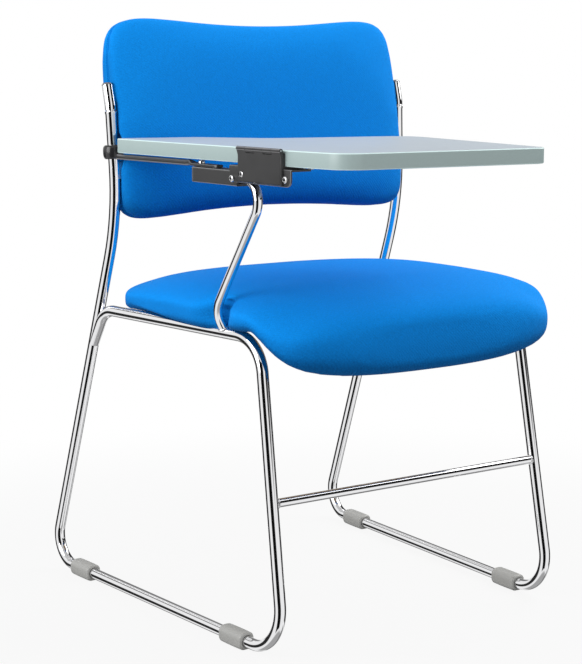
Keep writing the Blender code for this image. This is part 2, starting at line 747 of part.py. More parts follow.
def make_back(tubes):
    before = set(bpy.data.objects)
    board_front = BACK_BOARD_REAR_Y - BOARD_T
    low = (-BACK_BOARD_HALF, BACK_BOARD_LOW_Z)
    high = (BACK_BOARD_HALF, BACK_BOARD_HIGH_Z)
    centre = Vector((0, board_front + BOARD_T / 2, 0))
    board = sheet("back_board", [rectangle(low, high, BACK_BOARD_CORNER)], centre, X, Z, BOARD_T - CLEAR)
    add_part(board, PLYWOOD)
    grow = POCKET_PLAY
    pocket_front = board_front - grow
    pocket_rear = BACK_BOARD_REAR_Y + grow
    pocket = sheet("back_pocket", [rectangle((low[0] - grow, low[1] - grow), (high[0] + grow, high[1] + grow),
                                             BACK_BOARD_CORNER + grow)],
                   Y * (pocket_front + pocket_rear) / 2, X, Z, pocket_rear - pocket_front)
    front_rings = back_rings(BACK_FRONT_D, BACK_FRONT_HUG, -1, 3.0, 0.44, 2.2)
    rear_rings = back_rings(BACK_REAR_D, 0.0, 1, 5.0, 0.42, 0.0)
    cushion = add_part(loft("back_cushion", front_rings), FABRIC)
    cover = add_part(loft("back_rear_cover", rear_rings), FABRIC)
    for pad in (cushion, cover):
        for tool in (pocket, *tubes.values()):
            boolean(pad, tool)
    tab_rear = board_front - CLEAR
    for side, sign in SIDES.items():
        for place, z in TAB_ZS.items():
            name = f"{side}_{place}_back_tab"
            xs = sorted((sign * TAB_INNER_HALF, sign * KNEE_HALF))
            tab = block(name, (xs[0], tab_rear - TAB_T, z - TAB_W / 2), (xs[1], tab_rear, z + TAB_W / 2))
            boolean(tab, tubes[side])
            add_part(tab, STEEL)
            room_front = tab_rear - TAB_T - SCREW_HEAD_H - grow
            room = block(name + "_room", (xs[0] - grow, room_front, z - TAB_W / 2 - grow),
                         (xs[1] + grow, tab_rear + grow, z + TAB_W / 2 + grow))
            boolean(cushion, room)
            seat = Vector((sign * TAB_SCREW_HALF, tab_rear - TAB_T, z))
            length = TAB_T + BOARD_T * 0.75
            drill((tab, board), name + "_hole", seat - Y * CLEAR, seat + Y * (length + CLEAR), SCREW_R)
            socket_screw(f"{side}_{place}_back_screw", seat, Y, length, STEEL)
    lean_back([piece for piece in bpy.data.objects if piece not in before])
    return cushion, cover


def post_path():
    """From the right seat rail, out, up and forward, then back into the box."""
    slope = math.tan(POST_LEAN)
    foot_z = SEAT_RAIL_Z + POST_FOOT_RISE
    foot_y = POST_CORNER_Y + slope * (POST_AXIS_Z - foot_z)
    corners = [
        Vector((-rail_half(foot_y), foot_y, SEAT_RAIL_Z)),
        Vector((ARM_X, foot_y, foot_z)),
        Vector((ARM_X, POST_CORNER_Y, POST_AXIS_Z)),
        Vector((ARM_X, POST_END_Y, POST_AXIS_Z)),
    ]
    return bent_path(corners, (POST_FOOT_BEND, POST_TOP_BEND))


def make_bracket(tubes):
    """The post and what stands on its end: box, angle and fixed hinge plate."""
    post = tube("tablet_post", post_path(), POST_R)
    boolean(post, tubes["right"])
    add_part(post, CHROME)
    half = Vector((BOX_W / 2, BOX_H / 2))
    hollow = half - Vector((BOX_WALL, BOX_WALL))
    plug = hollow - Vector((CLEAR, CLEAR))
    box_mid = Vector((ARM_X, (BOX_FRONT_Y + BOX_REAR_Y) / 2, POST_AXIS_Z))
    loops = [rectangle(-half, half, BOX_ROUND), rectangle(-hollow, hollow, BOX_ROUND / 4)]
    box = add_part(sheet("arm_box", loops, box_mid, X, Z, BOX_REAR_Y - BOX_FRONT_Y), BLACK)
    cap_mid = Vector((ARM_X, BOX_REAR_Y + CLEAR + BOX_CAP_T / 2, POST_AXIS_Z))
    cap = sheet("arm_box_cap", [loops[0]], cap_mid, X, Z, BOX_CAP_T)
    spigot = block("box_cap_spigot", (ARM_X - plug.x, BOX_REAR_Y - BOX_CAP_SPIGOT, POST_AXIS_Z - plug.y),
                   (ARM_X + plug.x, BOX_REAR_Y + CLEAR + BOX_CAP_T / 2, POST_AXIS_Z + plug.y))
    boolean(cap, spigot, "UNION")
    add_part(cap, BLACK)
    angle = make_angle()
    plate = make_hinge_plate()
    flange_x = ANGLE_OUTER_X + ANGLE_WALL
    for place, y, z, pierced, grip in (("rear", REAR_BOLT_Y, POST_AXIS_Z, (angle, box, post), ARM_X + half.x),
                                       ("front", FRONT_BOLT_Y, FRONT_BOLT_Z, (angle,), flange_x)):
        seat = Vector((ANGLE_OUTER_X, y, z))
        length = grip - ANGLE_OUTER_X + CLEAR + NUT_H
        drill(pierced, f"{place}_bolt_hole", seat - X * CLEAR, seat + X * (length + CLEAR), SCREW_R)
        socket_screw(f"{place}_arm_bolt", seat, X, length, CHROME)
        make_nut(f"{place}_arm_nut", Vector((grip + CLEAR, y, z)))
    seat = Vector((PLATE_FACE_X + PLATE_SCREW_SINK, PLATE_SCREW_Y, PLATE_SCREW_Z))
    length = flange_x - seat.x + CLEAR + NUT_H
    drill((plate, angle), "plate_screw_hole", seat, seat + X * (length + CLEAR), SCREW_R)
    drill((plate,), "plate_screw_sink", seat - X * 2 * PLATE_SCREW_SINK, seat, SCREW_HEAD_R)
    socket_screw("hinge_plate_screw", seat, X, length, CHROME, head_h=PLATE_SCREW_SINK - CLEAR)
    make_nut("hinge_plate_nut", Vector((flange_x + CLEAR, PLATE_SCREW_Y, PLATE_SCREW_Z)))
    return box


def make_nut(name, start):
    nut = cylinder(name, start, start + X * (NUT_H - CLEAR), NUT_R, 6)
    drill((nut,), name + "_bore", start - X * NUT_H, start + X * 2 * NUT_H, SCREW_R)
    return add_part(nut, STEEL)


def make_angle():
    """A steel angle under the tablet, with round corners on its flange."""
    corners = ((ANGLE_FRONT_Y, ANGLE_LOW_Z), (ANGLE_REAR_Y, ANGLE_LOW_Z),
               (ANGLE_REAR_Y, WEB_TOP_Z), (ANGLE_FRONT_Y, WEB_TOP_Z))
    radii = (ANGLE_CORNER, ANGLE_CORNER, 0.0, 0.0)
    middle = X * (ANGLE_OUTER_X + ANGLE_W / 2)
    angle = sheet("arm_angle", [rounded_outline(corners, radii)], middle, Y, Z, ANGLE_W)
    inside = ANGLE_OUTER_X + ANGLE_WALL
    boolean(angle, block("angle_inside", (inside, ANGLE_FRONT_Y * 2, ANGLE_LOW_Z - ANGLE_W),
                         (inside + 2 * ANGLE_W, ANGLE_REAR_Y / 2, WEB_TOP_Z - ANGLE_WALL)))
    return add_part(angle, BLACK)


def arc(radius, start, end):
    """Points round the hinge axis, from one angle to another, seen from the front."""
    count = math.ceil((end - start) / math.radians(24))
    angles = [start + (end - start) * i / count for i in range(count + 1)]
    return [(radius * math.cos(a), radius * math.sin(a)) for a in angles]


def knuckle_spans(first):
    """Front and rear end of every other knuckle along Y, from a first one."""
    size = PLATE_LENGTH / KNUCKLES
    front = PLATE_CENTRE_Y - PLATE_LENGTH / 2
    spans = [(front + size * i, front + size * (i + 1)) for i in range(KNUCKLES)]
    spans[0] = (front - size, spans[0][1])
    spans[-1] = (spans[-1][0], front + PLATE_LENGTH + size)
    return spans[first::2]


def clear_knuckles(piece, first, outline):
    """Cut an outline out of every other knuckle, so that two leaves mesh."""
    for i, (front, rear) in enumerate(knuckle_spans(first)):
        centre = Vector((HINGE_X, (front + rear) / 2, HINGE_Z))
        boolean(piece, sheet(f"{piece.name}_gap_{i}", [outline], centre, X, Z, rear - front + KNUCKLE_GAP))


def hinge_bore(name):
    centre = Vector((HINGE_X, PLATE_CENTRE_Y, HINGE_Z))
    return sheet(name, [circle((0, 0), PIN_R + PIN_PLAY, 12)], centre, X, Z, PLATE_LENGTH * 2)


def make_hinge_plate():
    """The fixed leaf: a thick plate whose upper edge holds the pin."""
    fall = PLATE_LOW_Z - HINGE_Z
    inner = PLATE_T - HINGE_INSET
    barrel = arc(BARREL_R, 0.0, math.pi + math.acos(HINGE_INSET / BARREL_R))
    outline = [(-HINGE_INSET, fall), (inner, fall), (inner, -HINGE_INSET), *barrel]
    centre = Vector((HINGE_X, PLATE_CENTRE_Y, HINGE_Z))
    plate = sheet("hinge_plate", [outline], centre, X, Z, PLATE_LENGTH)
    soften(plate, PLATE_FACE_X, PLATE_ROUND)
    boolean(plate, hinge_bore("hinge_plate_bore"))
    depth = HEEL_R + HEEL_ROOM
    clear_knuckles(plate, 1, rectangle((-2 * depth, -depth), (2 * depth, 2 * depth)))
    return add_part(plate, BLACK)


def leaf_outline():
    """The moving leaf in section: flange, strip, barrel and round heel."""
    strip = PLATE_T - HINGE_INSET + CLEAR
    low = LEAF_LOW_Z - HINGE_Z
    barrel = arc(BARREL_R, math.radians(25), math.pi + math.acos(HINGE_INSET / BARREL_R))
    heel = arc(HEEL_R, math.pi + math.acos(HINGE_INSET / HEEL_R), 2 * math.pi - math.acos(strip / HEEL_R))
    return [(strip, low), (LEAF_REACH, low), (LEAF_REACH, low + LEAF_T), (strip + LEAF_T, low + LEAF_T),
            (strip + LEAF_T, HINGE_DROP / 2), *barrel, *heel]


def make_hinge_leaf():
    centre = Vector((HINGE_X, PLATE_CENTRE_Y, HINGE_Z))
    leaf = sheet("hinge_leaf", [leaf_outline()], centre, X, Z, PLATE_LENGTH - 2 * KNUCKLE_GAP)
    boolean(leaf, hinge_bore("hinge_leaf_bore"))
    step = PLATE_T - HINGE_INSET + 2 * CLEAR
    depth = HEEL_R + HEEL_ROOM
    room = [(-2 * depth, -depth), (step, -depth), (step, -STRIP_DROP), (2 * depth, -STRIP_DROP),
            (2 * depth, 2 * depth), (-2 * depth, 2 * depth)]
    clear_knuckles(leaf, 0, room)
    return add_part(leaf, BLACK)


def soften(piece, face_x, radius):
    """Round the edges of one outer face that looks along -X."""
    shape = bmesh.new()
    shape.from_mesh(piece.data)
    edges = [edge for edge in shape.edges
             if all(abs(v.co.x - face_x) < 1e-5 for v in edge.verts) and edge.calc_face_angle(0) > 0.9
             and edge.is_convex]
    bmesh.ops.bevel(shape, geom=edges, offset=radius, segments=2, profile=0.5, affect="EDGES")
    shape.to_mesh(piece.data)
    shape.free()


def make_tablet():
    """The tablet with its edging and the moving leaf of the hinge."""
    corners = [corner for corner, _ in TABLET_OUTLINE]
    radii = [radius for _, radius in TABLET_OUTLINE]
    centre = Z * (TABLET_LOW_Z + TABLET_T / 2)
    outer = rounded_outline(corners, radii)
    inner = rounded_outline(*inset(corners, radii, BAND_T))
    core = rounded_outline(*inset(corners, radii, BAND_T + CLEAR))
    board = sheet("tablet_board", [core], centre, X, Y, TABLET_T)
    band = sheet("tablet_edge_band", [outer, inner], centre, X, Y, TABLET_T)
    soften_band(band, outer)
    leaf = make_hinge_leaf()
    pieces = [add_part(board, LAMINATE), add_part(band, EDGING), leaf]
    for i, reach in enumerate(LEAF_SCREW_XS):
        for place, step in (("front", -1), ("rear", 1)):
            seat = Vector((HINGE_X + reach, PLATE_CENTRE_Y + step * LEAF_SCREW_SPREAD, LEAF_LOW_Z))
            name = f"{place}_leaf_screw_{i + 1}"
            tip = seat + Z * (LEAF_SCREW_LENGTH + CLEAR)
            drill((leaf, board), name + "_hole", seat - Z * CLEAR, tip, SCREW_R)
            pieces.append(socket_screw(name, seat, Z, LEAF_SCREW_LENGTH, STEEL))
    axis = bpy.data.objects.new("tablet_hinge_axis", None)
    axis.location = (HINGE_X, PLATE_CENTRE_Y, HINGE_Z)
    PARTS.objects.link(axis)
    bpy.context.view_layer.update()
    for piece in pieces:
        piece.parent = axis
        piece.matrix_parent_inverse = axis.matrix_world.inverted()
    pin_half = Y * PLATE_LENGTH / 2
    add_part(cylinder("hinge_pin", axis.location - pin_half, axis.location + pin_half, PIN_R), STEEL)


def soften_band(band, outline):
    """Round the upper and lower outer edges of the edging."""
    shape = bmesh.new()
    shape.from_mesh(band.data)
    rim = {(round(u, 5), round(v, 5)) for u, v in outline}
    edges = [edge for edge in shape.edges
             if abs(edge.verts[0].co.z - edge.verts[1].co.z) < 1e-6 and edge.calc_face_angle(0) > 0.9
             and all((round(v.co.x, 5), round(v.co.y, 5)) in rim for v in edge.verts)]
    bmesh.ops.bevel(shape, geom=edges, offset=BAND_ROUND, segments=2, profile=0.5, affect="EDGES")
    shape.to_mesh(band.data)
    shape.free()


def make_brace(box):
    """The rod from the box to a split collar on the right upright."""
    collar_mid = COLLAR_LOW_Z + COLLAR_H / 2
    upright = on_run(-1, 0, collar_mid)
    rest_z = BOX_TOP_Z + CLEAR
    rod_z = rest_z + BRACE_R - BRACE_SINK
    rod_x = ARM_X - BRACE_OFFSET
    rod_rear = Vector((upright.x, upright.y - COLLAR_R + BRACE_R, rod_z))
    rod_front = Vector((rod_x, BRACE_TAB_REAR_Y - BRACE_R, rod_z))
    rod = tube("brace_rod", [rod_rear, rod_front], BRACE_R)
    tab_half = BRACE_TAB_W / 2
    tab_outline = rectangle((rod_x - tab_half, BRACE_TAB_FRONT_Y), (rod_x + tab_half, BRACE_TAB_REAR_Y),
                            tab_half * 0.6)
    tab = sheet("brace_tab", [tab_outline], Z * (rest_z + BRACE_TAB_T / 2), X, Y, BRACE_TAB_T)
    boolean(rod, tab, "UNION")
    add_part(rod, BLACK)
    lean = on_run(-1, 0, collar_mid + 1) - upright
    ring_low = upright - lean * COLLAR_H / 2
    ring_high = upright + lean * COLLAR_H / 2
    halves = {}
    for place, step in (("front", -1), ("rear", 1)):
        half = cylinder(f"brace_collar_{place}", ring_low, ring_high, COLLAR_R, 24)
        bore_ends = ring_low - lean * COLLAR_H, ring_high + lean * COLLAR_H
        boolean(half, cylinder(f"collar_{place}_bore", *bore_ends, TUBE_R + CLEAR, TUBE_SIDES))
        near = upright.y + step * COLLAR_SPLIT / 2
        ys = sorted((near, near - step * 4 * COLLAR_R))
        boolean(half, block(f"collar_{place}_split",
                            (upright.x - 2 * COLLAR_R, ys[0], COLLAR_LOW_Z - COLLAR_H),
                            (upright.x + 2 * COLLAR_R, ys[1], COLLAR_LOW_Z + 2 * COLLAR_H)))
        halves[place] = add_part(half, BLACK)
    boolean(halves["front"], tube("rod_seat", [rod_rear + Y * CLEAR, rod_front], BRACE_R + CLEAR))
    middle = (TUBE_R + COLLAR_R) / 2
    for place, step in (("outer", -1), ("inner", 1)):
        seat = upright + X * step * middle + Y * COLLAR_SCREW_SEAT
        length = 3 * COLLAR_SCREW_SEAT
        drill(halves.values(), f"collar_{place}_hole", seat + Y * CLEAR, seat - Y * (length + CLEAR),
              COLLAR_SCREW_R)
        drill((halves["rear"],), f"collar_{place}_sink", seat + Y * COLLAR_R, seat, COLLAR_SCREW_HEAD_R)
        socket_screw(f"brace_collar_{place}_screw", seat, -Y, length, STEEL, COLLAR_SCREW_R,
                     COLLAR_SCREW_HEAD_R, COLLAR_SCREW_HEAD_H)
    seat = Vector((rod_x, BRACE_BOLT_Y, rest_z + BRACE_TAB_T))
    length = BRACE_TAB_T + CLEAR + BOX_WALL
    drill((rod, box), "brace_bolt_hole", seat + Z * CLEAR, seat - Z * (length + CLEAR), SCREW_R)
    socket_screw("brace_bolt", seat, -Z, length, CHROME, head_h=BRACE_BOLT_HEAD_H)
    return cylinder("collar_room", ring_low - lean * POCKET_PLAY, ring_high + lean * POCKET_PLAY,
                    COLLAR_R + POCKET_PLAY, 24)


def main():
    for side, sign in SIDES.items():
        make_side_frame(side, sign)
        for place, y in GLIDE_YS[side].items():
            make_glide(f"{side}_{place}_glide", sign, y)
    tubes = {side: clearance_tube(side, sign) for side, sign in SIDES.items()}
    bars = make_cross_members(tubes)
    post_groove = tube("post_groove", post_path(), POST_R + POCKET_PLAY)
    make_seat(tubes, bars, post_groove)
    pads = make_back(tubes)
    box = make_bracket(tubes)
    make_tablet()
    collar_room = make_brace(box)
    for pad in pads:
        boolean(pad, collar_room)


main()
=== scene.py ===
"""Looks of the tablet arm chair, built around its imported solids.

Smooth chrome tubes, upholstery, tablet and fittings stand for the solids, each
with its own procedural finish. Metres, +Z up, the sitter faces -Y.
"""
import logging
import math
from collections.abc import Callable, Iterable, Sequence
from dataclasses import dataclass
from enum import Enum

import bmesh
import bpy
import numpy as np
from mathutils import Matrix, Vector
from mathutils.bvhtree import BVHTree


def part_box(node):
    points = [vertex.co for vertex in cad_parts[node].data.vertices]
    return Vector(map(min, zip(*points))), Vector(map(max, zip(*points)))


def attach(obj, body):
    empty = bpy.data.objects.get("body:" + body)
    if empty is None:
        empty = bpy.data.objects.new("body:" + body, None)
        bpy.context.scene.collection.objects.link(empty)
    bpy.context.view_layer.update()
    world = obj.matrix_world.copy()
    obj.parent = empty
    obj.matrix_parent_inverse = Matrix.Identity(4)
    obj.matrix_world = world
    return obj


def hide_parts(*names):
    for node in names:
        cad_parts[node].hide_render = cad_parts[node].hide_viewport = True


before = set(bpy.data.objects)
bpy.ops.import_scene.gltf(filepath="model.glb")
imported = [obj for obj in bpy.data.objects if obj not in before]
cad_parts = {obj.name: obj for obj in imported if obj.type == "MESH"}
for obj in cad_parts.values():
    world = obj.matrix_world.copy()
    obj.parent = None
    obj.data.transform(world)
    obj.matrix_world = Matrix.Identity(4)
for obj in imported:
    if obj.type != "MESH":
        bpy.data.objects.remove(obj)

LOG = logging.getLogger("tablet_arm_chair")
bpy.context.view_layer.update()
SIDES = {"right": -1, "left": 1}
GLIDE_YS = {"right": {"front": -0.0980, "rear": 0.2910}, "left": {"front": -0.1075, "rear": 0.2910}}
Y = Vector((0, 1, 0))
Z = Vector((0, 0, 1))
TINY = 1e-5
Colour = tuple[float, float, float]
Spot = tuple[float, float, float]
Profile = tuple[tuple[float, float], ...]
Outline = list[tuple[float, float]]
Ring = list[Vector]


class Body(Enum):
    """The two bodies of the chair."""

    FRAME = "frame"
    TABLET = "tablet"


class HeadSide(Enum):
    """Where a screw's head looks."""

    OUTWARD = (-1, 0, 0)
    UP = (0, 0, 1)
    DOWN = (0, 0, -1)
    REAR = (0, 1, 0)


class Wire:
    """An output socket that takes part in Python arithmetic."""

    def __init__(self, kit: "Kit", socket: bpy.types.NodeSocket) -> None:
        self.kit = kit
        self.socket = socket

    def math(self, operation: str, *values: "Wire | float") -> "Wire":
        """Add a Math node.

        Args:
            operation: Blender's name of the operation.
            values: Its operands, in order.

        Returns:
            The node's result.
        """
        return self.kit.node("ShaderNodeMath", {"operation": operation}, dict(enumerate(values)))

    def __add__(self, other: "Wire | float") -> "Wire":
        """Sum."""
        return self.math("ADD", self, other)

    def __radd__(self, other: float) -> "Wire":
        """Sum, with a number first."""
        return self.math("ADD", other, self)

    def __sub__(self, other: "Wire | float") -> "Wire":
        """Difference."""
        return self.math("SUBTRACT", self, other)

    def __rsub__(self, other: float) -> "Wire":
        """Difference, with a number first."""
        return self.math("SUBTRACT", other, self)

    def __mul__(self, other: "Wire | float") -> "Wire":
        """Product."""
        return self.math("MULTIPLY", self, other)

    def __rmul__(self, other: float) -> "Wire":
        """Product, with a number first."""
        return self.math("MULTIPLY", other, self)

    def __truediv__(self, other: "Wire | float") -> "Wire":
        """Quotient."""
        return self.math("DIVIDE", self, other)

    def __abs__(self) -> "Wire":
        """Size without sign."""
        return self.math("ABSOLUTE", self)

    def within(self, low: float, high: float, soft: float) -> "Wire":
        """A band from 0 to 1 between two levels, with soft edges."""
        return self.above(low, soft) * (1 - self.above(high, soft))

    def wave(self) -> "Wire":
        """A sine from 0 to 1 with a period of 1."""
        return self.math("SINE", self * math.tau) * 0.5 + 0.5

    def above(self, level: float, soft: float) -> "Wire":
        """A soft step from 0 to 1.

        Args:
            level: Where the step is.
            soft: How wide it is.

        Returns:
            The step, between 0 and 1.
        """
        span = {"interpolation_type": "SMOOTHSTEP"}
        return self.kit.node("ShaderNodeMapRange", span,
                             {"Value": self, "From Min": level - soft / 2, "From Max": level + soft / 2})


class Kit:
    """Builds one node tree."""

    def __init__(self, tree: bpy.types.NodeTree) -> None:
        """Start from an empty tree."""
        tree.nodes.clear()
        self.tree = tree

    def add(self, kind: str, settings: dict | None = None, sockets: dict | None = None) -> bpy.types.Node:
        """Add a node.

        Args:
            kind: The node's type.
            settings: Its own settings, set first.
            sockets: Values or wires for its inputs, by name or place.

        Returns:
            The node.
        """
        made = self.tree.nodes.new(kind)
        for name, value in (settings or {}).items():
            setattr(made, name, value)
        for key, value in (sockets or {}).items():
            if isinstance(value, Wire):
                self.tree.links.new(value.socket, made.inputs[key])
            else:
                made.inputs[key].default_value = value
        return made

    def node(self, kind: str, settings: dict | None = None, sockets: dict | None = None,
             output: int | str = 0) -> Wire:
        """Add a node, as add does, and take one of its outputs."""
        return Wire(self, self.add(kind, settings, sockets).outputs[output])

    def place(self, output: str = "Object") -> Wire:
        """Texture coordinates of the surface."""
        return self.node("ShaderNodeTexCoord", output=output)

    def noise(self, scale: float, detail: float = 2.0, where: Wire | None = None) -> Wire:
        """Noise from 0 to 1.

        Args:
            scale: Blobs per metre.
            detail: Octaves.
            where: Coordinates, or the object's own.

        Returns:
            The noise value.
        """
        inputs = {"Vector": where or self.place(), "Scale": scale, "Detail": detail}
        return self.node("ShaderNodeTexNoise", {}, inputs)

    def parts(self, vector: Wire) -> tuple[Wire, Wire, Wire]:
        """X, Y and Z of a vector."""
        split = self.add("ShaderNodeSeparateXYZ", {}, {0: vector})
        return tuple(Wire(self, socket) for socket in split.outputs)

    def edges(self) -> Wire:
        """Where the surface turns away from all three axes, as rounded edges do."""
        x, y, z = (abs(part) for part in self.parts(self.place("Normal")))
        return (1 - x.math("MAXIMUM", x.math("MAXIMUM", x, y), z)).above(0.12, 0.16)

    def blend(self, share: Wire, first: Wire | Colour, second: Wire | Colour) -> Wire:
        """Mix two colours.

        Args:
            share: 0 for the first colour, 1 for the second.
            first: A colour.
            second: Another colour.

        Returns:
            The mixed colour.
        """
        ends = [end if isinstance(end, Wire) else (*end, 1.0) for end in (first, second)]
        return self.node("ShaderNodeMix", {"data_type": "RGBA"}, {0: share, 6: ends[0], 7: ends[1]}, 2)

    def bump(self, height: Wire, strength: float, depth: float) -> Wire:
        """A Bump node's normal, from a height between 0 and 1 and its depth in metres."""
        return self.node("ShaderNodeBump", {}, {"Height": height, "Strength": strength, "Distance": depth})

    def surface(self, sockets: dict) -> None:
        """Finish a material's tree with a Principled BSDF."""
        self.node_out(self.node("ShaderNodeBsdfPrincipled", {}, sockets), "ShaderNodeOutputMaterial")

    def node_out(self, shader: Wire, kind: str) -> None:
        """Link a shader to an output node."""
        self.add(kind, {}, {"Surface": shader})

    def rays(self) -> tuple[Wire, Wire]:
        """Whether a ray shows a surface directly, and whether it is a mirrored one."""
        paths = self.add("ShaderNodeLightPath").outputs
        names = ("Is Camera Ray", "Is Transmission Ray", "Is Glossy Ray")
        seen, through, mirrored = (Wire(self, paths[name]) for name in names)
        return seen.math("MAXIMUM", seen, through), mirrored


@dataclass(frozen=True)
class Finish:
    """A named finish of the record, with its colour and roughness."""

    slot: str
    colour: Colour
    roughness: float
    tag: str = "plain"

    def make(self) -> bpy.types.Material:
        """The finish's material, made once."""
        name = f"{self.slot}_{self.tag}"
        if name not in bpy.data.materials:
            material = bpy.data.materials.new(name)
            material.use_nodes = True
            self.shade(Kit(material.node_tree))
        return bpy.data.materials[name]

    def shade(self, kit: Kit) -> None:
        """Fill the material's tree."""
        raise NotImplementedError

    def tone(self, level: float) -> Colour:
        """The finish's colour, made darker or lighter."""
        return tuple(min(1.0, part * level) for part in self.colour)


@dataclass(frozen=True)
class Chrome(Finish):
    """Bright plate with faint polishing haze."""

    haze: float = 0.05

    def shade(self, kit: Kit) -> None:
        """Fill the material's tree."""
        smear = kit.noise(26.0, 3.0)
        speck = kit.noise(900.0, 1.0)
        kit.surface({
            "Base Color": kit.blend(smear, self.tone(0.97), self.tone(1.02)),
            "Metallic": 1.0,
            "Roughness": self.roughness + smear * self.haze + speck * self.haze * 0.2,
        })


@dataclass(frozen=True)
class Weave(Finish):
    """Upholstery cloth in a fine diagonal weave, with painted light where it faces up and painted shade
    where it faces down.
    """

    pitch: float = 0.0034
    depth: float = 0.0008
    slant: float = 0.72
    wander: float = 0.9
    # darkest and palest are the tone ends of the weave and also of its painted shade below and painted light
    # on top
    darkest: float = 0.16
    palest: float = 1.24

    def shade(self, kit: Kit) -> None:
        """Fill the material's tree."""
        warp = kit.noise(160.0, 2.0) * self.wander
        x, y, z = (part / self.pitch for part in kit.parts(kit.place()))
        twill = ((x + y + z) * self.slant + warp).wave()
        cross = ((x - y - z) * self.slant + warp).wave()
        fibre = kit.noise(560.0, 3.0)
        patch = kit.noise(95.0, 2.0)
        height = twill * (0.55 + cross * 0.45) * (0.35 + patch * 0.6)
        # painted light on faces that look up and painted shade on faces that look down, from the normal's
        # height
        painted_top_light = kit.parts(kit.place("Normal"))[2].above(-0.05, 0.9)
        lit = height * 0.07 + fibre * 0.42 + painted_top_light * 0.51
        # the blend share mixes the weave and fibre tones with that painted light and shade
        kit.surface({
            "Base Color": kit.blend(lit, self.tone(self.darkest), self.tone(self.palest)),
            "Roughness": self.roughness - height * 0.08,
            "Specular IOR Level": 0.06,
            "Sheen Weight": 0.03,
            "Sheen Roughness": 0.45,
            "Sheen Tint": (0.25, 0.62, 1.0, 1.0),
            "Normal": kit.bump(height * 0.4 + fibre, 0.6, self.depth),
        })


@dataclass(frozen=True)
class Laminate(Finish):
    """Pale satin laminate with a faint speckle."""

    def shade(self, kit: Kit) -> None:
        """Fill the material's tree."""
        speck = kit.noise(1400.0, 2.0)
        cloud = kit.noise(11.0, 3.0)
        scuff = kit.noise(70.0, 4.0)
        kit.surface({
            "Base Color": kit.blend(speck * 0.5 + cloud * 0.5, self.tone(0.94), self.tone(1.05)),
            "Roughness": self.roughness + scuff * 0.10,
            "Normal": kit.bump(speck, 0.12, 0.0001),
        })


@dataclass(frozen=True)
class Edging(Finish):
    """Extruded edge band, with fine draw lines along it and a painted highlight along its rounded arrises.
    """

    lines: float = 620.0

    def shade(self, kit: Kit) -> None:
        """Fill the material's tree."""
        height = kit.parts(kit.place())[2]
        drawn = kit.noise(1.0, 1.0, kit.node("ShaderNodeCombineXYZ", {}, {2: height * self.lines}))
        grain = kit.noise(480.0, 3.0)
        skin = kit.blend(drawn * 0.4 + grain * 0.6, self.tone(0.93), self.tone(1.06))
        # painted highlight along the band's rounded arrises, where the normal lies between level and upright
        painted_arris_highlight = abs(kit.parts(kit.place("Normal"))[2]).within(0.30, 0.95, 0.2)
        kit.surface({
            "Base Color": kit.blend(painted_arris_highlight * 0.9, skin, self.tone(1.9)),
            "Roughness": self.roughness + grain * 0.08,
            "Normal": kit.bump(drawn * 0.6 + grain * 0.4, 0.15, 0.0001),
        })


@dataclass(frozen=True)
class PowderCoat(Finish):
    """Satin black coat with orange peel, and a painted grey highlight along its rounded edges."""

    peel: float = 750.0
    # share of the painted grey highlight on rounded edges
    painted_edge_light: float = 0.8

    def shade(self, kit: Kit) -> None:
        """Fill the material's tree."""
        peel = kit.noise(self.peel, 2.0)
        cloud = kit.noise(45.0, 2.0)
        coat = kit.blend(peel * 0.5 + cloud * 0.5, self.tone(0.8), self.tone(1.25))
        kit.surface({
            # painted grey highlight where the surface turns between its flat sides
            "Base Color": kit.blend(kit.edges() * self.painted_edge_light, coat, self.tone(8.0)),
            "Roughness": self.roughness + cloud * 0.10,
            "Normal": kit.bump(peel, 0.16, 0.0002),
        })


@dataclass(frozen=True)
class Moulded(Finish):
    """Moulded plastic, rubbed and a little dark where it meets the floor."""

    worn_to: float = 0.0045

    def shade(self, kit: Kit) -> None:
        """Fill the material's tree."""
        grain = kit.noise(620.0, 3.0)
        scuff = kit.noise(240.0, 4.0)
        height = kit.parts(kit.place())[2]
        low = 1 - height.above(self.worn_to, self.worn_to)
        worn = low * scuff.above(0.45, 0.3)
        fresh = kit.blend(grain, self.tone(0.97), self.tone(1.03))
        kit.surface({
            "Base Color": kit.blend(worn * 0.35, fresh, self.tone(0.55)),
            "Roughness": self.roughness + grain * 0.04 + worn * 0.2,
            "Normal": kit.bump(grain, 0.05, 0.00015),
        })


@dataclass(frozen=True)
class Zinc(Finish):
    """Zinc-plated steel with a crystalline cloud."""

    def shade(self, kit: Kit) -> None:
        """Fill the material's tree."""
        cloud = kit.noise(180.0, 4.0)
        kit.surface({
            "Base Color": kit.blend(cloud, self.tone(0.85), self.tone(1.12)),
            "Metallic": 1.0,
            "Roughness": self.roughness + cloud * 0.18,
            "Normal": kit.bump(cloud, 0.10, 0.0001),
        })


@dataclass(frozen=True)
class Plywood(Finish):
    """Bare plywood: long grain on its faces and plies on its edges."""

    ply: float = 0.0015

    def shade(self, kit: Kit) -> None:
        """Fill the material's tree."""
        spot = kit.place()
        x, y, z = kit.parts(spot)
        stretched = kit.node("ShaderNodeCombineXYZ", {}, {0: x * 9.0, 1: y * 120.0, 2: z * 120.0})
        grain = kit.noise(1.0, 5.0, stretched)
        plies = (z / self.ply + grain * 0.3).wave()
        upright = abs(kit.parts(kit.place("Normal"))[2]).above(0.6, 0.3)
        tone = grain * upright + plies * (1 - upright)
        kit.surface({
            "Base Color": kit.blend(tone, self.tone(0.62), self.tone(1.18)),
            "Roughness": self.roughness + grain * 0.12,
            "Normal": kit.bump(grain, 0.2, 0.0002),
        })


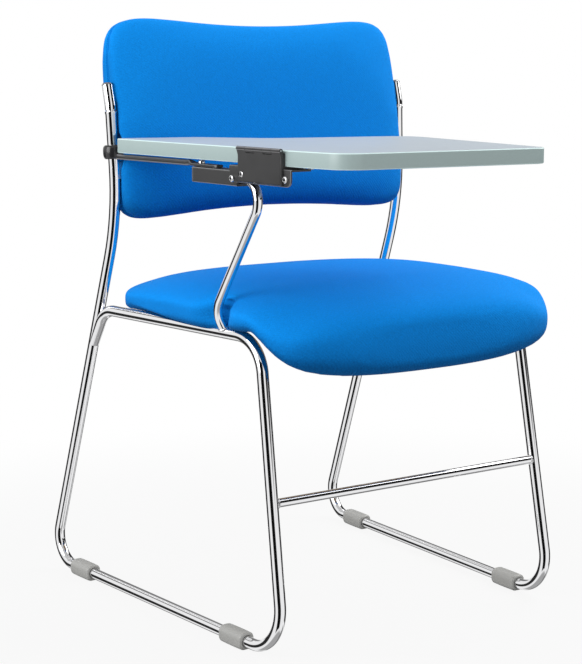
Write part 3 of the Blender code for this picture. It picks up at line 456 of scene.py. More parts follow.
CHROME = Chrome("chrome", (0.86, 0.86, 0.87), 0.035)
SMOKED = Chrome("chrome", (0.34, 0.34, 0.35), 0.10, "smoked")
FABRIC = Weave("blue_fabric", (0.0035, 0.262, 0.96), 0.92)
LAMINATE = Laminate("pale_laminate", (0.445, 0.50, 0.55), 0.42)
EDGING = Edging("grey_edging", (0.36, 0.455, 0.45), 0.28)
BLACK = PowderCoat("black_coat", (0.032, 0.032, 0.033), 0.30)
# the gloss coat has no painted edge highlight
GLOSS = PowderCoat("black_coat", (0.020, 0.020, 0.021), 0.14, "gloss", painted_edge_light=0.0)
GREY_PLASTIC = Moulded("grey_plastic", (0.36, 0.36, 0.347), 0.36)
ZINC = Zinc("zinc_steel", (0.62, 0.62, 0.63), 0.28)
PLYWOOD = Plywood("plywood", (0.55, 0.39, 0.22), 0.62)
NODE_FINISHES = {finish.slot: finish for finish in (CHROME, FABRIC, LAMINATE, EDGING, BLACK, GREY_PLASTIC,
                                                    ZINC, PLYWOOD)}


def fillet(before: Vector, corner: Vector, after: Vector, radius: float, step: float) -> list[Vector]:
    """Points of the round corner between two straight runs.

    Args:
        before: End of the run that comes in.
        corner: Where the runs would meet.
        after: End of the run that goes out.
        radius: Radius of the bend.
        step: Turn between two points, in radians.

    Returns:
        Points along the bend.
    """
    to_before = (before - corner).normalized()
    to_after = (after - corner).normalized()
    turn = math.pi - to_before.angle(to_after)
    if radius <= 0 or turn < 1e-4:
        return [corner]
    reach = radius * math.tan(turn / 2)
    centre = corner + (to_before + to_after).normalized() * (radius / math.cos(turn / 2))
    axis = to_before.cross(to_after).normalized()
    arm = corner + to_before * reach - centre
    count = max(2, math.ceil(turn / step))
    return [centre + Matrix.Rotation(-turn * i / count, 3, axis) @ arm for i in range(count + 1)]


def bent_path(corners: Sequence[Vector], radii: Sequence[float], step: float = math.radians(3)) -> Ring:
    """An open path of straight runs and arcs.

    Args:
        corners: Both ends and the corners between them.
        radii: One radius for each inner corner.
        step: Turn between two points of an arc.

    Returns:
        Points along the path.
    """
    points = [corners[0]]
    for i, radius in enumerate(radii, start=1):
        points += fillet(corners[i - 1], corners[i], corners[i + 1], radius, step)
    return points + [corners[-1]]


def rounded_outline(corners: Sequence[tuple[float, float]], radii: Sequence[float],
                    step: float = math.radians(3)) -> Outline:
    """A closed flat outline from its corners and their radii."""
    spots = [Vector((*corner, 0.0)) for corner in corners]
    points = []
    for i, radius in enumerate(radii):
        points += fillet(spots[i - 1], spots[i], spots[(i + 1) % len(spots)], radius, step)
    return [(point.x, point.y) for point in points]


def inset(corners: Sequence[tuple[float, float]], radii: Sequence[float],
          distance: float) -> tuple[Outline, list[float]]:
    """Move a clockwise outline inwards, with its radii kept concentric.

    Args:
        corners: The outline's corners.
        radii: Their radii.
        distance: How far in.

    Returns:
        The moved corners and their radii.
    """
    spots = [Vector(corner) for corner in corners]
    moved = []
    changed = []
    for i, spot in enumerate(spots):
        run_in = (spot - spots[i - 1]).normalized()
        run_out = (spots[(i + 1) % len(spots)] - spot).normalized()
        normal_in = Vector((run_in.y, -run_in.x))
        normal_out = Vector((run_out.y, -run_out.x))
        turn = run_in.x * run_out.y - run_in.y * run_out.x
        middle = (normal_in + normal_out).normalized()
        moved.append(tuple(spot + middle * (distance / middle.dot(normal_in))))
        changed.append(radii[i] - distance if turn < 0 else radii[i] + distance)
    return moved, changed


def power(value: float, exponent: float) -> float:
    """A power that keeps the sign."""
    return math.copysign(abs(value) ** exponent, value)


def round_off(share: float, sharpness: float) -> float:
    """Falls from 1 in the middle to 0 at share 1, like a rounded corner."""
    return max(0.0, 1.0 - abs(share) ** sharpness) ** (1.0 / sharpness)


def ease(share: float) -> float:
    """A smooth step between 0 and 1."""
    share = min(1.0, max(0.0, share))
    return share * share * (3 - 2 * share)


def spread(count: int, crowd: float, last: float = 0.998) -> list[float]:
    """Shares from near -1 to near 1, crowded towards both ends."""
    steps = [2 * i / (count - 1) - 1 for i in range(count)]
    return [math.copysign(1 - (1 - abs(s)) ** crowd, s) * last for s in steps]


def circle(count: int) -> Outline:
    """Cosine and sine of evenly spaced angles, once round."""
    return [(math.cos(math.tau * k / count), math.sin(math.tau * k / count)) for k in range(count)]


def quarter(count: int) -> Outline:
    """Cosine and sine of angles from 0 to a right angle, in equal steps."""
    angles = [math.pi / 2 * i / count for i in range(count + 1)]
    return [(math.cos(angle), math.sin(angle)) for angle in angles]


def loft(rings: Sequence[Sequence[Vector]], closed: bool = False) -> bmesh.types.BMesh:
    """A skin through rings of equal counts.

    Args:
        rings: The rings, in order.
        closed: Join the last ring to the first, in place of caps.

    Returns:
        The mesh.
    """
    shape = bmesh.new()
    rows = [[shape.verts.new(spot) for spot in ring] for ring in rings]
    count = len(rows[0])
    pairs = list(zip(rows, rows[1:])) + ([(rows[-1], rows[0])] if closed else [])
    for lower, upper in pairs:
        for i in range(count):
            j = (i + 1) % count
            shape.faces.new((lower[i], lower[j], upper[j], upper[i]))
    if not closed:
        shape.faces.new(rows[0])
        shape.faces.new(rows[-1])
    bmesh.ops.recalc_face_normals(shape, faces=shape.faces)
    return shape


def sweep(points: Sequence[Vector], radii: Sequence[float], sides: int = 36) -> bmesh.types.BMesh:
    """A round bar along a path, without twist.

    Args:
        points: The path.
        radii: The bar's radius at each point.
        sides: Points around it.

    Returns:
        The closed mesh.
    """
    rings = []
    runs = [(b - a).normalized() for a, b in zip(points, points[1:])]
    tangents = [runs[0]] + [(a + b).normalized() for a, b in zip(runs, runs[1:])] + [runs[-1]]
    normal = tangents[0].orthogonal().normalized()
    for i, (point, tangent) in enumerate(zip(points, tangents)):
        if i:
            normal = tangents[i - 1].rotation_difference(tangent) @ normal
        other = tangent.cross(normal)
        rings.append([point + (normal * c + other * s) * radii[i] for c, s in circle(sides)])
    return loft(rings)


def along(start: Vector, direction: Vector) -> Matrix:
    """A matrix that sets +Z along a direction, with its origin at start."""
    turn = Z.rotation_difference(direction.normalized()).to_matrix().to_4x4()
    return Matrix.Translation(start) @ turn


def turned(profile: Sequence[tuple[float, float]], start: Vector, direction: Vector,
           steps: int = 40) -> bmesh.types.BMesh:
    """A turned piece.

    Args:
        profile: Radius and height of its rings, in order.
        start: Its origin.
        direction: Its axis.
        steps: Points around it.

    Returns:
        The closed mesh.
    """
    matrix = along(start, direction)
    return loft([[matrix @ Vector((radius * c, radius * s, height)) for c, s in circle(steps)]
                 for radius, height in profile])


def put(name: str, data: bpy.types.ID) -> bpy.types.Object:
    """A new object in the scene."""
    thing = bpy.data.objects.new(name, data)
    bpy.context.scene.collection.objects.link(thing)
    return thing


def mesh_of(name: str, shape: bmesh.types.BMesh) -> bpy.types.Mesh:
    """A named mesh of a shape, which is freed."""
    mesh = bpy.data.meshes.new(name)
    shape.to_mesh(mesh)
    shape.free()
    return mesh


def add_piece(name: str, shape: bmesh.types.BMesh, finish: Finish, body: Body,
              stands_for: Iterable[str] = (), sharp_from: float = 40.0) -> bpy.types.Object:
    """Put a finished mesh in the scene and on its body.

    Args:
        name: The piece's name.
        shape: Its mesh, which is freed.
        finish: Its finish.
        body: The body that it rides on.
        stands_for: Solids that it replaces.
        sharp_from: Edges that turn by more than this angle stay sharp.

    Returns:
        The new object.
    """
    mesh = mesh_of(name, shape)
    mesh.shade_smooth()
    mesh.set_sharp_from_angle(angle=math.radians(sharp_from))
    piece = put(name, mesh)
    mesh.materials.append(finish.make())
    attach(piece, body.value)
    if stands_for:
        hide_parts(*stands_for)
    LOG.info("%s: %d faces on %s", name, len(mesh.polygons), body.value)
    return piece


def dress_node(name: str, bevel: float = 0.0) -> None:
    """Give a solid that stays its finish, with welded and slightly rounded edges.

    Args:
        name: The solid's node.
        bevel: Width of its rounded edges, or 0 for none.
    """
    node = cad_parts[name]
    mesh = node.data
    slot = mesh.materials[0].name.split(".")[0]
    mesh.materials[0] = NODE_FINISHES[slot].make()
    mesh.attributes.remove(mesh.attributes["custom_normal"])
    mesh.shade_smooth()
    weld = node.modifiers.new("weld", "WELD")
    weld.merge_threshold = TINY
    if bevel:
        flats = node.modifiers.new("flats", "DECIMATE")
        flats.decimate_type = "DISSOLVE"
        flats.angle_limit = math.radians(1)
        edge = node.modifiers.new("edge", "BEVEL")
        edge.width = bevel
        edge.segments = 3
        edge.limit_method = "ANGLE"
        edge.angle_limit = math.radians(35)
        node.modifiers.new("shading", "WEIGHTED_NORMAL").keep_sharp = True
    LOG.info("%s: solid kept", name)


def weld_bead(name: str, centre: Vector, axis: Vector, radius: float, size: float, steps: int = 60) -> None:
    """A plated weld round a tube's end, with a faint ripple.

    Args:
        name: The piece's name.
        centre: Middle of the ring.
        axis: The tube's direction.
        radius: Radius of the ring.
        size: Thickness of the bead.
        steps: Sections round the ring.
    """
    matrix = along(centre, axis)
    ripple, ripples = 0.10, 15
    rings = []
    for k, (c, s) in enumerate(circle(steps)):
        swell = size * (1 + ripple * math.cos(ripples * math.tau * k / steps))
        section = [(radius + swell * u, swell * v) for u, v in circle(12)]
        rings.append([matrix @ Vector((reach * c, reach * s, lift)) for reach, lift in section])
    add_piece(name, loft(rings, closed=True), CHROME, Body.FRAME)


@dataclass
class SideTubes:
    """The two bent chrome tubes with their caps, stretcher and glides."""

    tube_r: float = 0.008
    sole: float = 0.0037
    foot_rear: tuple[float, float] = (0.2600, 0.3825)
    foot_front: tuple[float, float] = (0.2315, -0.2030)
    rail_front: tuple[float, float] = (0.2195, -0.132)
    rail_rear: tuple[float, float] = (0.2515, 0.2225)
    rail_z: float = 0.4155
    weld_drop: float = 0.053
    knee: tuple[float, float, float] = (0.2515, 0.1825, 0.5559)
    neck: tuple[float, float, float] = (0.2550, 0.1910, 0.7075)
    bends: tuple[float, ...] = (0.32, 0.040, 0.057, 0.052, 0.040)
    tip_length: float = 0.029
    tip_start: float = 0.002
    tip_lean: float = math.radians(15)
    tip_grooves: Profile = (
        (1.0, 0.0020), (1.0, 0.0056), (0.84, 0.0064), (0.84, 0.0076), (1.07, 0.0082), (1.07, 0.0104),
        (1.0, 0.0116))
    cap_r: float = 0.0080
    cap_h: float = 0.0045
    cap_rim: Profile = ((0.86, 0.0), (0.98, 0.0003), (1.02, 0.0009), (1.0, 0.0015), (0.93, 0.0019))
    stretcher_r: float = 0.006
    stretcher_z: float = 0.2065
    stretcher_sink: float = 0.6
    weld_out: float = 0.92
    weld_size: float = 0.0014
    glide_length: float = 0.051
    glide_half: float = 0.0120
    glide_round: float = 0.0035
    glide_square: float = 0.72
    glide_gap: float = 0.0004
    glide_lip: float = 0.004
    glide_belly: Profile = ((1.015, 0.4), (1.02, 0.0))
    glide_steps: int = 56

    @property
    def foot_z(self) -> float:
        """Height of the foot rails' axis."""
        return self.tube_r + self.sole

    def corners(self, sign: int) -> Ring:
        """Corners of one tube, from its neck to its weld on the rear leg."""
        fall = (self.foot_rear[1] - self.knee[1]) / (self.knee[2] - self.foot_z)
        weld_z = self.rail_z - self.weld_drop
        share = (weld_z - self.foot_z) / (self.knee[2] - self.foot_z)
        weld = (self.foot_rear[0] + (self.knee[0] - self.foot_rear[0]) * share,
                self.foot_rear[1] - fall * (weld_z - self.foot_z), weld_z)
        spots = (self.neck, self.knee, (*self.foot_rear, self.foot_z), (*self.foot_front, self.foot_z),
                 (*self.rail_front, self.rail_z), (*self.rail_rear, self.rail_z), weld)
        return [Vector((sign * half, y, z)) for half, y, z in spots]

    def path(self, sign: int) -> Ring:
        """The tube's axis from its neck to its weld."""
        return bent_path(self.corners(sign), self.bends)

    def lean(self) -> Vector:
        """Direction of the leaning tips."""
        return Vector((0, math.sin(self.tip_lean), math.cos(self.tip_lean)))

    def on_run(self, sign: int, first: int, z: float) -> Vector:
        """The point at height z on the straight run that starts at a corner."""
        start, end = self.corners(sign)[first:first + 2]
        return start + (end - start) * ((z - start.z) / (end.z - start.z))

    def rail_point(self, sign: int, y: float) -> Vector:
        """The point of a seat rail's axis at a place along it."""
        start, end = self.corners(sign)[4:6]
        return start + (end - start) * ((y - start.y) / (end.y - start.y))

    def tip(self, path: Ring) -> tuple[Ring, list[float]]:
        """The leaning tip, and the groove and ring below its neck: points and radii, from the top."""
        run = (path[1] - path[0]).normalized()
        points = [path[0] + self.lean() * reach for reach in (self.tip_length, self.tip_start)]
        points += [path[0] + run * fall for _, fall in self.tip_grooves]
        return points, [self.tube_r] * 2 + [self.tube_r * share for share, _ in self.tip_grooves]

    def build(self) -> None:
        """Make both tubes, their caps, glides and the stretcher."""
        for side, sign in SIDES.items():
            path = self.path(sign)
            points, radii = self.tip(path)
            tube = sweep(points + path[1:], radii + [self.tube_r] * (len(path) - 1))
            add_piece(f"{side}_chrome_tube", tube, CHROME, Body.FRAME, [f"{side}_side_frame"])
            self.build_cap(side, points[0])
            for place, y in GLIDE_YS[side].items():
                self.build_glide(f"{side}_{place}", sign, y)
        self.build_stretcher()

    def build_cap(self, side: str, top: Vector) -> None:
        """A domed plug with a rolled rim."""
        profile = [(self.cap_r * share, height) for share, height in self.cap_rim]
        base_r, base = profile[-1]
        profile += [(base_r * c + TINY, base + (self.cap_h - base) * s) for c, s in quarter(12)[1:]]
        shape = turned(profile, top, self.lean())
        add_piece(f"{side}_tip_plug", shape, SMOKED, Body.FRAME, [f"{side}_upright_cap"], 60.0)

    def glide_ring(self, centre: Vector, run: Vector, half: float, low: float) -> Ring:
        """One squarish section of a glide, flat at its sole.

        Args:
            centre: Middle of the section, on the tube's axis.
            run: The tube's direction.
            half: Half its width.
            low: Height that nothing goes below.

        Returns:
            The section's points.
        """
        across = run.cross(Z).normalized()
        ring = []
        for c, s in circle(self.glide_steps):
            wide = half * power(c, self.glide_square)
            tall = half * power(s, self.glide_square)
            spot = centre + across * wide + Z * tall
            spot.z = max(spot.z, low)
            ring.append(spot)
        return ring

    def build_glide(self, name: str, sign: int, y: float) -> None:
        """A plastic sleeve on the foot rail, with rounded ends and an open bore."""
        rear, front = self.corners(sign)[2:4]
        run = (front - rear).normalized()
        centre = rear + (front - rear) * ((y - rear.y) / (front.y - rear.y))
        half_length = self.glide_length / 2
        bore = self.tube_r + self.glide_gap
        across = run.cross(Z).normalized()
        stations = [(1.0 - self.glide_lip / half_length, bore), (1.0, bore)]
        for c, s in quarter(6):
            back = self.glide_round * (1 - s)
            stations.append((1.0 - self.glide_round * (1 - c) / half_length, self.glide_half - back))
        stations += [(share, self.glide_half * belly) for belly, share in self.glide_belly]
        stations += [(-share, half) for share, half in reversed(stations[:-1])]
        rings = []
        for i, (share, half) in enumerate(stations):
            spot = centre + run * half_length * share
            if 2 <= i < len(stations) - 2:
                rings.append(self.glide_ring(spot, run, half, max(0.0, self.glide_half - half)))
            else:
                rings.append([spot + (across * c + Z * s) * half for c, s in circle(self.glide_steps)])
        node = f"{name}_glide"
        add_piece(f"{name}_sleeve", loft(rings, closed=True), GREY_PLASTIC, Body.FRAME, [node], 50.0)

    def build_stretcher(self) -> None:
        """The thin tube between the front legs, with its welds."""
        ends = [self.on_run(sign, 3, self.stretcher_z) for sign in SIDES.values()]
        run = (ends[1] - ends[0]).normalized()
        reach = self.tube_r * self.stretcher_sink
        shape = sweep([ends[0] + run * reach, ends[1] - run * reach], [self.stretcher_r] * 2)
        add_piece("front_cross_tube", shape, CHROME, Body.FRAME, ["front_stretcher"])
        for side, end, step in zip(SIDES, ends, (1, -1)):
            centre = end + run * step * self.tube_r * self.weld_out
            weld_bead(f"{side}_stretcher_weld", centre, run, self.stretcher_r, self.weld_size)


@dataclass
class Padding:
    """How a pad is blown up by the cloth simulation."""

    voxel: float = 0.0055
    give: float = 0.0006
    rise: float = 0.0020
    pressure: float = 4.0
    frames: int = 16
    calm_rounds: int = 16
    quality: int = 4
    mass: float = 0.25
    stretch: float = 18.0
    bend: float = 0.8

    def swell(self, piece: bpy.types.Object, held: Callable[[Vector], bool]) -> None:
        """Remesh a pad and let air pressure fill its cloth, a little.

        Args:
            piece: The pad, whose mesh is replaced.
            held: Tells which points are sewn or glued down.
        """
        self.remesh(piece)
        mesh = piece.data
        first = read(mesh, "co")
        normals = read(mesh, "normal")
        group = piece.vertex_groups.new(name="sewn")
        group.add([i for i, spot in enumerate(first) if held(Vector(spot))], 1.0, "REPLACE")
        cloth = piece.modifiers.new("air", "CLOTH")
        cloth.settings.quality = self.quality
        cloth.settings.mass = self.mass
        cloth.settings.tension_stiffness = self.stretch
        cloth.settings.compression_stiffness = self.stretch
        cloth.settings.bending_stiffness = self.bend
        cloth.settings.use_pressure = True
        cloth.settings.uniform_pressure_force = self.pressure
        cloth.settings.vertex_group_mass = group.name
        cloth.settings.effector_weights.gravity = 0.0
        cloth.point_cache.frame_end = self.frames
        scene = bpy.context.scene
        for tick in range(1, self.frames + 1):
            scene.frame_set(tick)
        blown = piece.evaluated_get(bpy.context.evaluated_depsgraph_get()).data
        lift = np.sum((read(blown, "co") - first) * normals, axis=1, keepdims=True)
        piece.modifiers.remove(cloth)
        lift = even_out(mesh, np.clip(lift, -self.give, self.rise), self.calm_rounds)
        write(mesh, first + normals * lift)
        piece.vertex_groups.remove(group)
        scene.frame_set(1)

    def remesh(self, piece: bpy.types.Object) -> None:
        """Give a pad an even mesh that lies on its first skin."""
        remesh = piece.modifiers.new("even", "REMESH")
        remesh.mode = "VOXEL"
        remesh.voxel_size = self.voxel
        state = bpy.context.evaluated_depsgraph_get()
        even = bpy.data.meshes.new_from_object(piece.evaluated_get(state))
        piece.modifiers.remove(remesh)
        skin = BVHTree.FromPolygons([vertex.co for vertex in piece.data.vertices],
                                    [face.vertices for face in piece.data.polygons])
        piece.data = even
        smooth = bmesh.new()
        smooth.from_mesh(even)
        for _ in range(2):
            bmesh.ops.smooth_vert(smooth, verts=smooth.verts, factor=0.5, use_axis_x=True, use_axis_y=True,
                                  use_axis_z=True)
        for vertex in smooth.verts:
            vertex.co = skin.find_nearest(vertex.co)[0]
        smooth.to_mesh(even)
        smooth.free()
        even.shade_smooth()


def repeat_bead(places: Sequence[Matrix]) -> bmesh.types.BMesh:
    """Small round beads, one at each place."""
    bead = bmesh.new()
    bmesh.ops.create_uvsphere(bead, u_segments=8, v_segments=6, radius=1.0)
    spots = [vertex.co.copy() for vertex in bead.verts]
    faces = [[vertex.index for vertex in face.verts] for face in bead.faces]
    bead.free()
    shape = bmesh.new()
    for place in places:
        row = [shape.verts.new(place @ spot) for spot in spots]
        for face in faces:
            shape.faces.new([row[i] for i in face])
    return shape


def read(mesh: bpy.types.Mesh, name: str) -> np.ndarray:
    """A vector of every vertex, such as its place or normal."""
    values = np.empty(3 * len(mesh.vertices), dtype=np.float32)
    mesh.vertices.foreach_get(name, values)
    return values.reshape(-1, 3)


def write(mesh: bpy.types.Mesh, spots: np.ndarray) -> None:
    """Move every vertex to its row's place."""
    mesh.vertices.foreach_set("co", spots.ravel())
    mesh.update()


def even_out(mesh: bpy.types.Mesh, values: np.ndarray, rounds: int) -> np.ndarray:
    """Average each vertex's value with its neighbours', a number of times."""
    ends = np.empty(2 * len(mesh.edges), dtype=np.int32)
    mesh.edges.foreach_get("vertices", ends)
    first, second = ends.reshape(-1, 2).T
    count = np.bincount(ends, minlength=len(values))[:, None]
    for _ in range(rounds):
        total = np.zeros_like(values)
        np.add.at(total, first, values[second])
        np.add.at(total, second, values[first])
        values = (values + total) / (count + 1)
    return values


def nearest_on(path: Ring, spots: np.ndarray) -> tuple[np.ndarray, np.ndarray]:
    """Nearest points on a path.

    Args:
        path: The path.
        spots: Points near it, one in each row.

    Returns:
        The nearest point of the path for each spot, and the distances.
    """
    corners = np.array(path)
    gaps = np.full(len(spots), np.inf)
    feet = np.zeros_like(spots)
    for start, run in zip(corners, np.diff(corners, axis=0)):
        share = np.clip((spots - start) @ run / (run @ run), 0.0, 1.0)
        foot = start + share[:, None] * run
        gap = np.linalg.norm(spots - foot, axis=1)
        closer = gap < gaps
        gaps[closer] = gap[closer]
        feet[closer] = foot[closer]
    return feet, gaps


def press(mesh: bpy.types.Mesh, path: Ring, clear: float, reach: float) -> None:
    """Push padding away from a bar.

    Args:
        mesh: The pad's mesh.
        path: The bar's axis.
        clear: Least distance from the axis.
        reach: Distance at which the padding is left alone.
    """
    spots = read(mesh, "co")
    feet, gaps = nearest_on(path, spots)
    near = gaps < reach
    gap = np.maximum(gaps[near], 1e-6)[:, None]
    spots[near] = feet[near] + (spots[near] - feet[near]) / gap * (clear + (reach - clear) * gap / reach)
    write(mesh, spots)


def finish_pad(piece: bpy.types.Object) -> None:
    smooth = piece.modifiers.new("smooth", "SUBSURF")
    smooth.levels = 1
    smooth.render_levels = 1
    piece.data.materials.clear()
    piece.data.materials.append(FABRIC.make())


@dataclass(frozen=True)
class Ramp:
    """A smooth rise from nothing at its start to the full amount; a negative run rises backwards."""

    amount: float
    start: float
    run: float

    def at(self, place: float) -> float:
        """The amount at a place."""
        return self.amount * ease((place - self.start) / self.run)


@dataclass
class Seat:
    """The upholstered seat with its hanging front roll.

    The skirt and the nose's drop rise along Y, and the other ramps along the share of its length, which runs
    from 0 at the rear to 1 at the nose.
    """

    rear_y: float = 0.2465
    nose_y: float = -0.2220
    half_rear: float = 0.2420
    half_front: float = 0.2580
    rear_corner: float = 6.0
    front_corner: float = 5.2
    end_corner: float = 7.0
    edge_h: float = 0.040
    crown: float = 0.016
    crown_length: float = 2.5
    crown_width: float = 2.0
    skirt: Ramp = Ramp(0.0105, -0.150, 0.110)
    nose_drop: Ramp = Ramp(0.065, -0.1400, -0.060)
    rear_fall: Ramp = Ramp(0.010, 0.45, -0.45)
    nose_fall: Ramp = Ramp(0.010, 0.72, 0.28)
    rear_roll: float = 0.28
    belly: float = 0.34
    nose_belly: Ramp = Ramp(0.40, 0.80, 0.14)
    nose_soft: Ramp = Ramp(0.34, 0.55, 0.45)
    rear_soft: Ramp = Ramp(0.22, 0.25, -0.25)
    side_square: float = 0.42
    top_square: float = 0.50
    section_count: int = 61
    section_crowd: float = 1.55
    ring_steps: int = 84
    glued_h: float = 0.006
    pocket_lift: float = 0.006
    tube_gap: float = 0.0002
    tube_reach: float = 0.006
    post_gap: float = 0.0003
    dent_width: float = 0.024
    dent_fall: float = 0.010
    dent_rounds: int = 14
    fold: tuple[Spot, ...] = (
        (-0.2430, -0.0880, 0.4310), (-0.2330, -0.1060, 0.4550), (-0.2130, -0.1180, 0.4680))
    fold_depth: float = 0.0030
    fold_width: float = 0.016
    fold_fade: float = 0.7
    fill: float = 0.85
    board_edge: float = 0.0006

    def rings(self, base: float) -> list[Ring]:
        """Cross sections from the rear roll to the front roll."""
        middle = (self.rear_y + self.nose_y) / 2
        reach = (self.rear_y - self.nose_y) / 2
        rings = []
        for share in spread(self.section_count, self.section_crowd):
            y = middle - share * reach
            forward = (share + 1) / 2
            width = self.half_rear + (self.half_front - self.half_rear) * forward
            half = width * round_off(share, self.front_corner if share > 0 else self.rear_corner)
            low = base - self.skirt.at(y) - self.nose_drop.at(y)
            top = base + self.edge_h - (self.rear_fall.at(forward) + self.nose_fall.at(forward))
            end = round_off(share, self.end_corner)
            mid = (low + top) / 2 if share > 0 else low + (top - low) * self.rear_roll
            low = mid + (low - mid) * end
            top = mid + (top - mid) * end
            crown = self.crown * end * round_off(share, self.crown_length)
            rings.append(self.ring(y, half, low, top, crown, forward))
        return rings

    def ring(self, y: float, half: float, low: float, top: float, crown: float, forward: float) -> Ring:
        """One cross section.

        Args:
            y: Its place.
            half: Half its width.
            low: Its lowest point.
            top: Its upper edge.
            crown: How much higher its middle is.
            forward: Its share of the length.

        Returns:
            Its points.
        """
        belly = self.belly + self.nose_belly.at(forward)
        soft = self.nose_soft.at(forward) + self.rear_soft.at(forward)
        points = []
        for i in range(self.ring_steps):
            angle = math.tau * (i + 0.5) / self.ring_steps
            upper = math.sin(angle) > 0
            x = half * power(math.cos(angle), self.side_square + soft if upper else belly)
            level = power(math.sin(angle), self.top_square + soft / 2 if upper else belly)
            z = (low + top) / 2 + (top - low) / 2 * level
            if upper:
                z += crown * level * round_off(x / half, self.crown_width)
            points.append(Vector((x, y, z)))
        return points

    def build(self, tubes: SideTubes, post: Ring, post_r: float) -> None:
        """Make the upholstery and press it round the post and the rails.

        Args:
            tubes: The side tubes.
            post: Axis of the tablet's post.
            post_r: The post's radius.
        """
        low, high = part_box("seat_board")
        base = low.z
        piece = add_piece("seat_upholstery", loft(self.rings(base)), FABRIC, Body.FRAME, ["seat_cushion"])
        Padding().swell(piece, lambda spot: spot.z < base + self.glued_h and spot.y > self.nose_drop.start)
        self.lift_base(piece.data, low, high)
        self.draw_fold(piece.data)
        for sign in SIDES.values():
            press(piece.data, tubes.path(sign), tubes.tube_r + self.tube_gap, tubes.tube_r + self.tube_reach)
        self.dent(piece.data, post, post_r + self.post_gap)
        finish_pad(piece)
        for node in ("seat_board", "front_seat_bar", "rear_seat_bar"):
            dress_node(node, self.board_edge)

    def lift_base(self, mesh: bpy.types.Mesh, low: Vector, high: Vector) -> None:
        """Keep the upholstery's underside inside the board's thickness.

        Args:
            mesh: The upholstery's mesh.
            low: Low corner of the seat board.
            high: High corner of the seat board.
        """
        spots = read(mesh, "co")
        inside = np.all((spots[:, :2] > low[:2]) & (spots[:, :2] < high[:2]), axis=1)
        under = inside & (spots[:, 2] < low.z + self.pocket_lift)
        spots[under, 2] = low.z + self.pocket_lift
        write(mesh, spots)

    def draw_fold(self, mesh: bpy.types.Mesh) -> None:
        """Draw a soft fold into the cloth ahead of the post's foot, deepest at its start."""
        path = [Vector(spot) for spot in self.fold]
        spots = read(mesh, "co")
        feet, gaps = nearest_on(path, spots)
        span = np.array(path[-1] - path[0])
        share = np.clip((feet - np.array(path[0])) @ span / (span @ span), 0.0, 1.0)
        sink = self.fold_depth * (1.0 - share) ** self.fold_fade * np.exp(-(gaps / self.fold_width) ** 2)
        write(mesh, spots - read(mesh, "normal") * sink[:, None])

    def dent(self, mesh: bpy.types.Mesh, path: Ring, clear: float) -> None:
        """Press the right side inwards where the post stands against it.

        Args:
            mesh: The upholstery's mesh.
            path: The post's axis.
            clear: Least distance from the axis.
        """
        spots = read(mesh, "co")
        side = np.array((0.0, 1.0, 1.0))
        gaps = nearest_on(np.array(path) * side, spots * side)[1]
        inner = max(spot.x for spot in path) + clear
        wall = inner - (clear + self.dent_fall) * (gaps / self.dent_width) ** 2
        push = np.where(spots[:, 0] < 0, np.maximum(wall - spots[:, 0], 0.0), 0.0)
        spots[:, 0] += even_out(mesh, push[:, None], self.dent_rounds)[:, 0]
        touching = (gaps < clear) & (spots[:, 0] < inner)
        spots[touching, 0] = inner
        write(mesh, spots)


@dataclass(frozen=True)
class BackHalf:
    """One half of the back.

    It stands off the seam to the rear (1) or to the sitter (-1), by a depth that hug adds to at its sides.
    Corner and rim say how square its ends and its rim are, and droop how round its upper corners are.
    """

    name: str
    node: str
    forward: int
    depth: float
    hug: float
    corner: float
    rim: float
    droop: float


BACK_HALVES = (
    BackHalf("back_front_upholstery", "back_cushion", -1, 0.0345, 0.0060, 3.0, 0.44, 2.2),
    BackHalf("back_rear_upholstery", "back_rear_cover", 1, 0.0295, 0.0, 5.0, 0.42, 0.0),
)


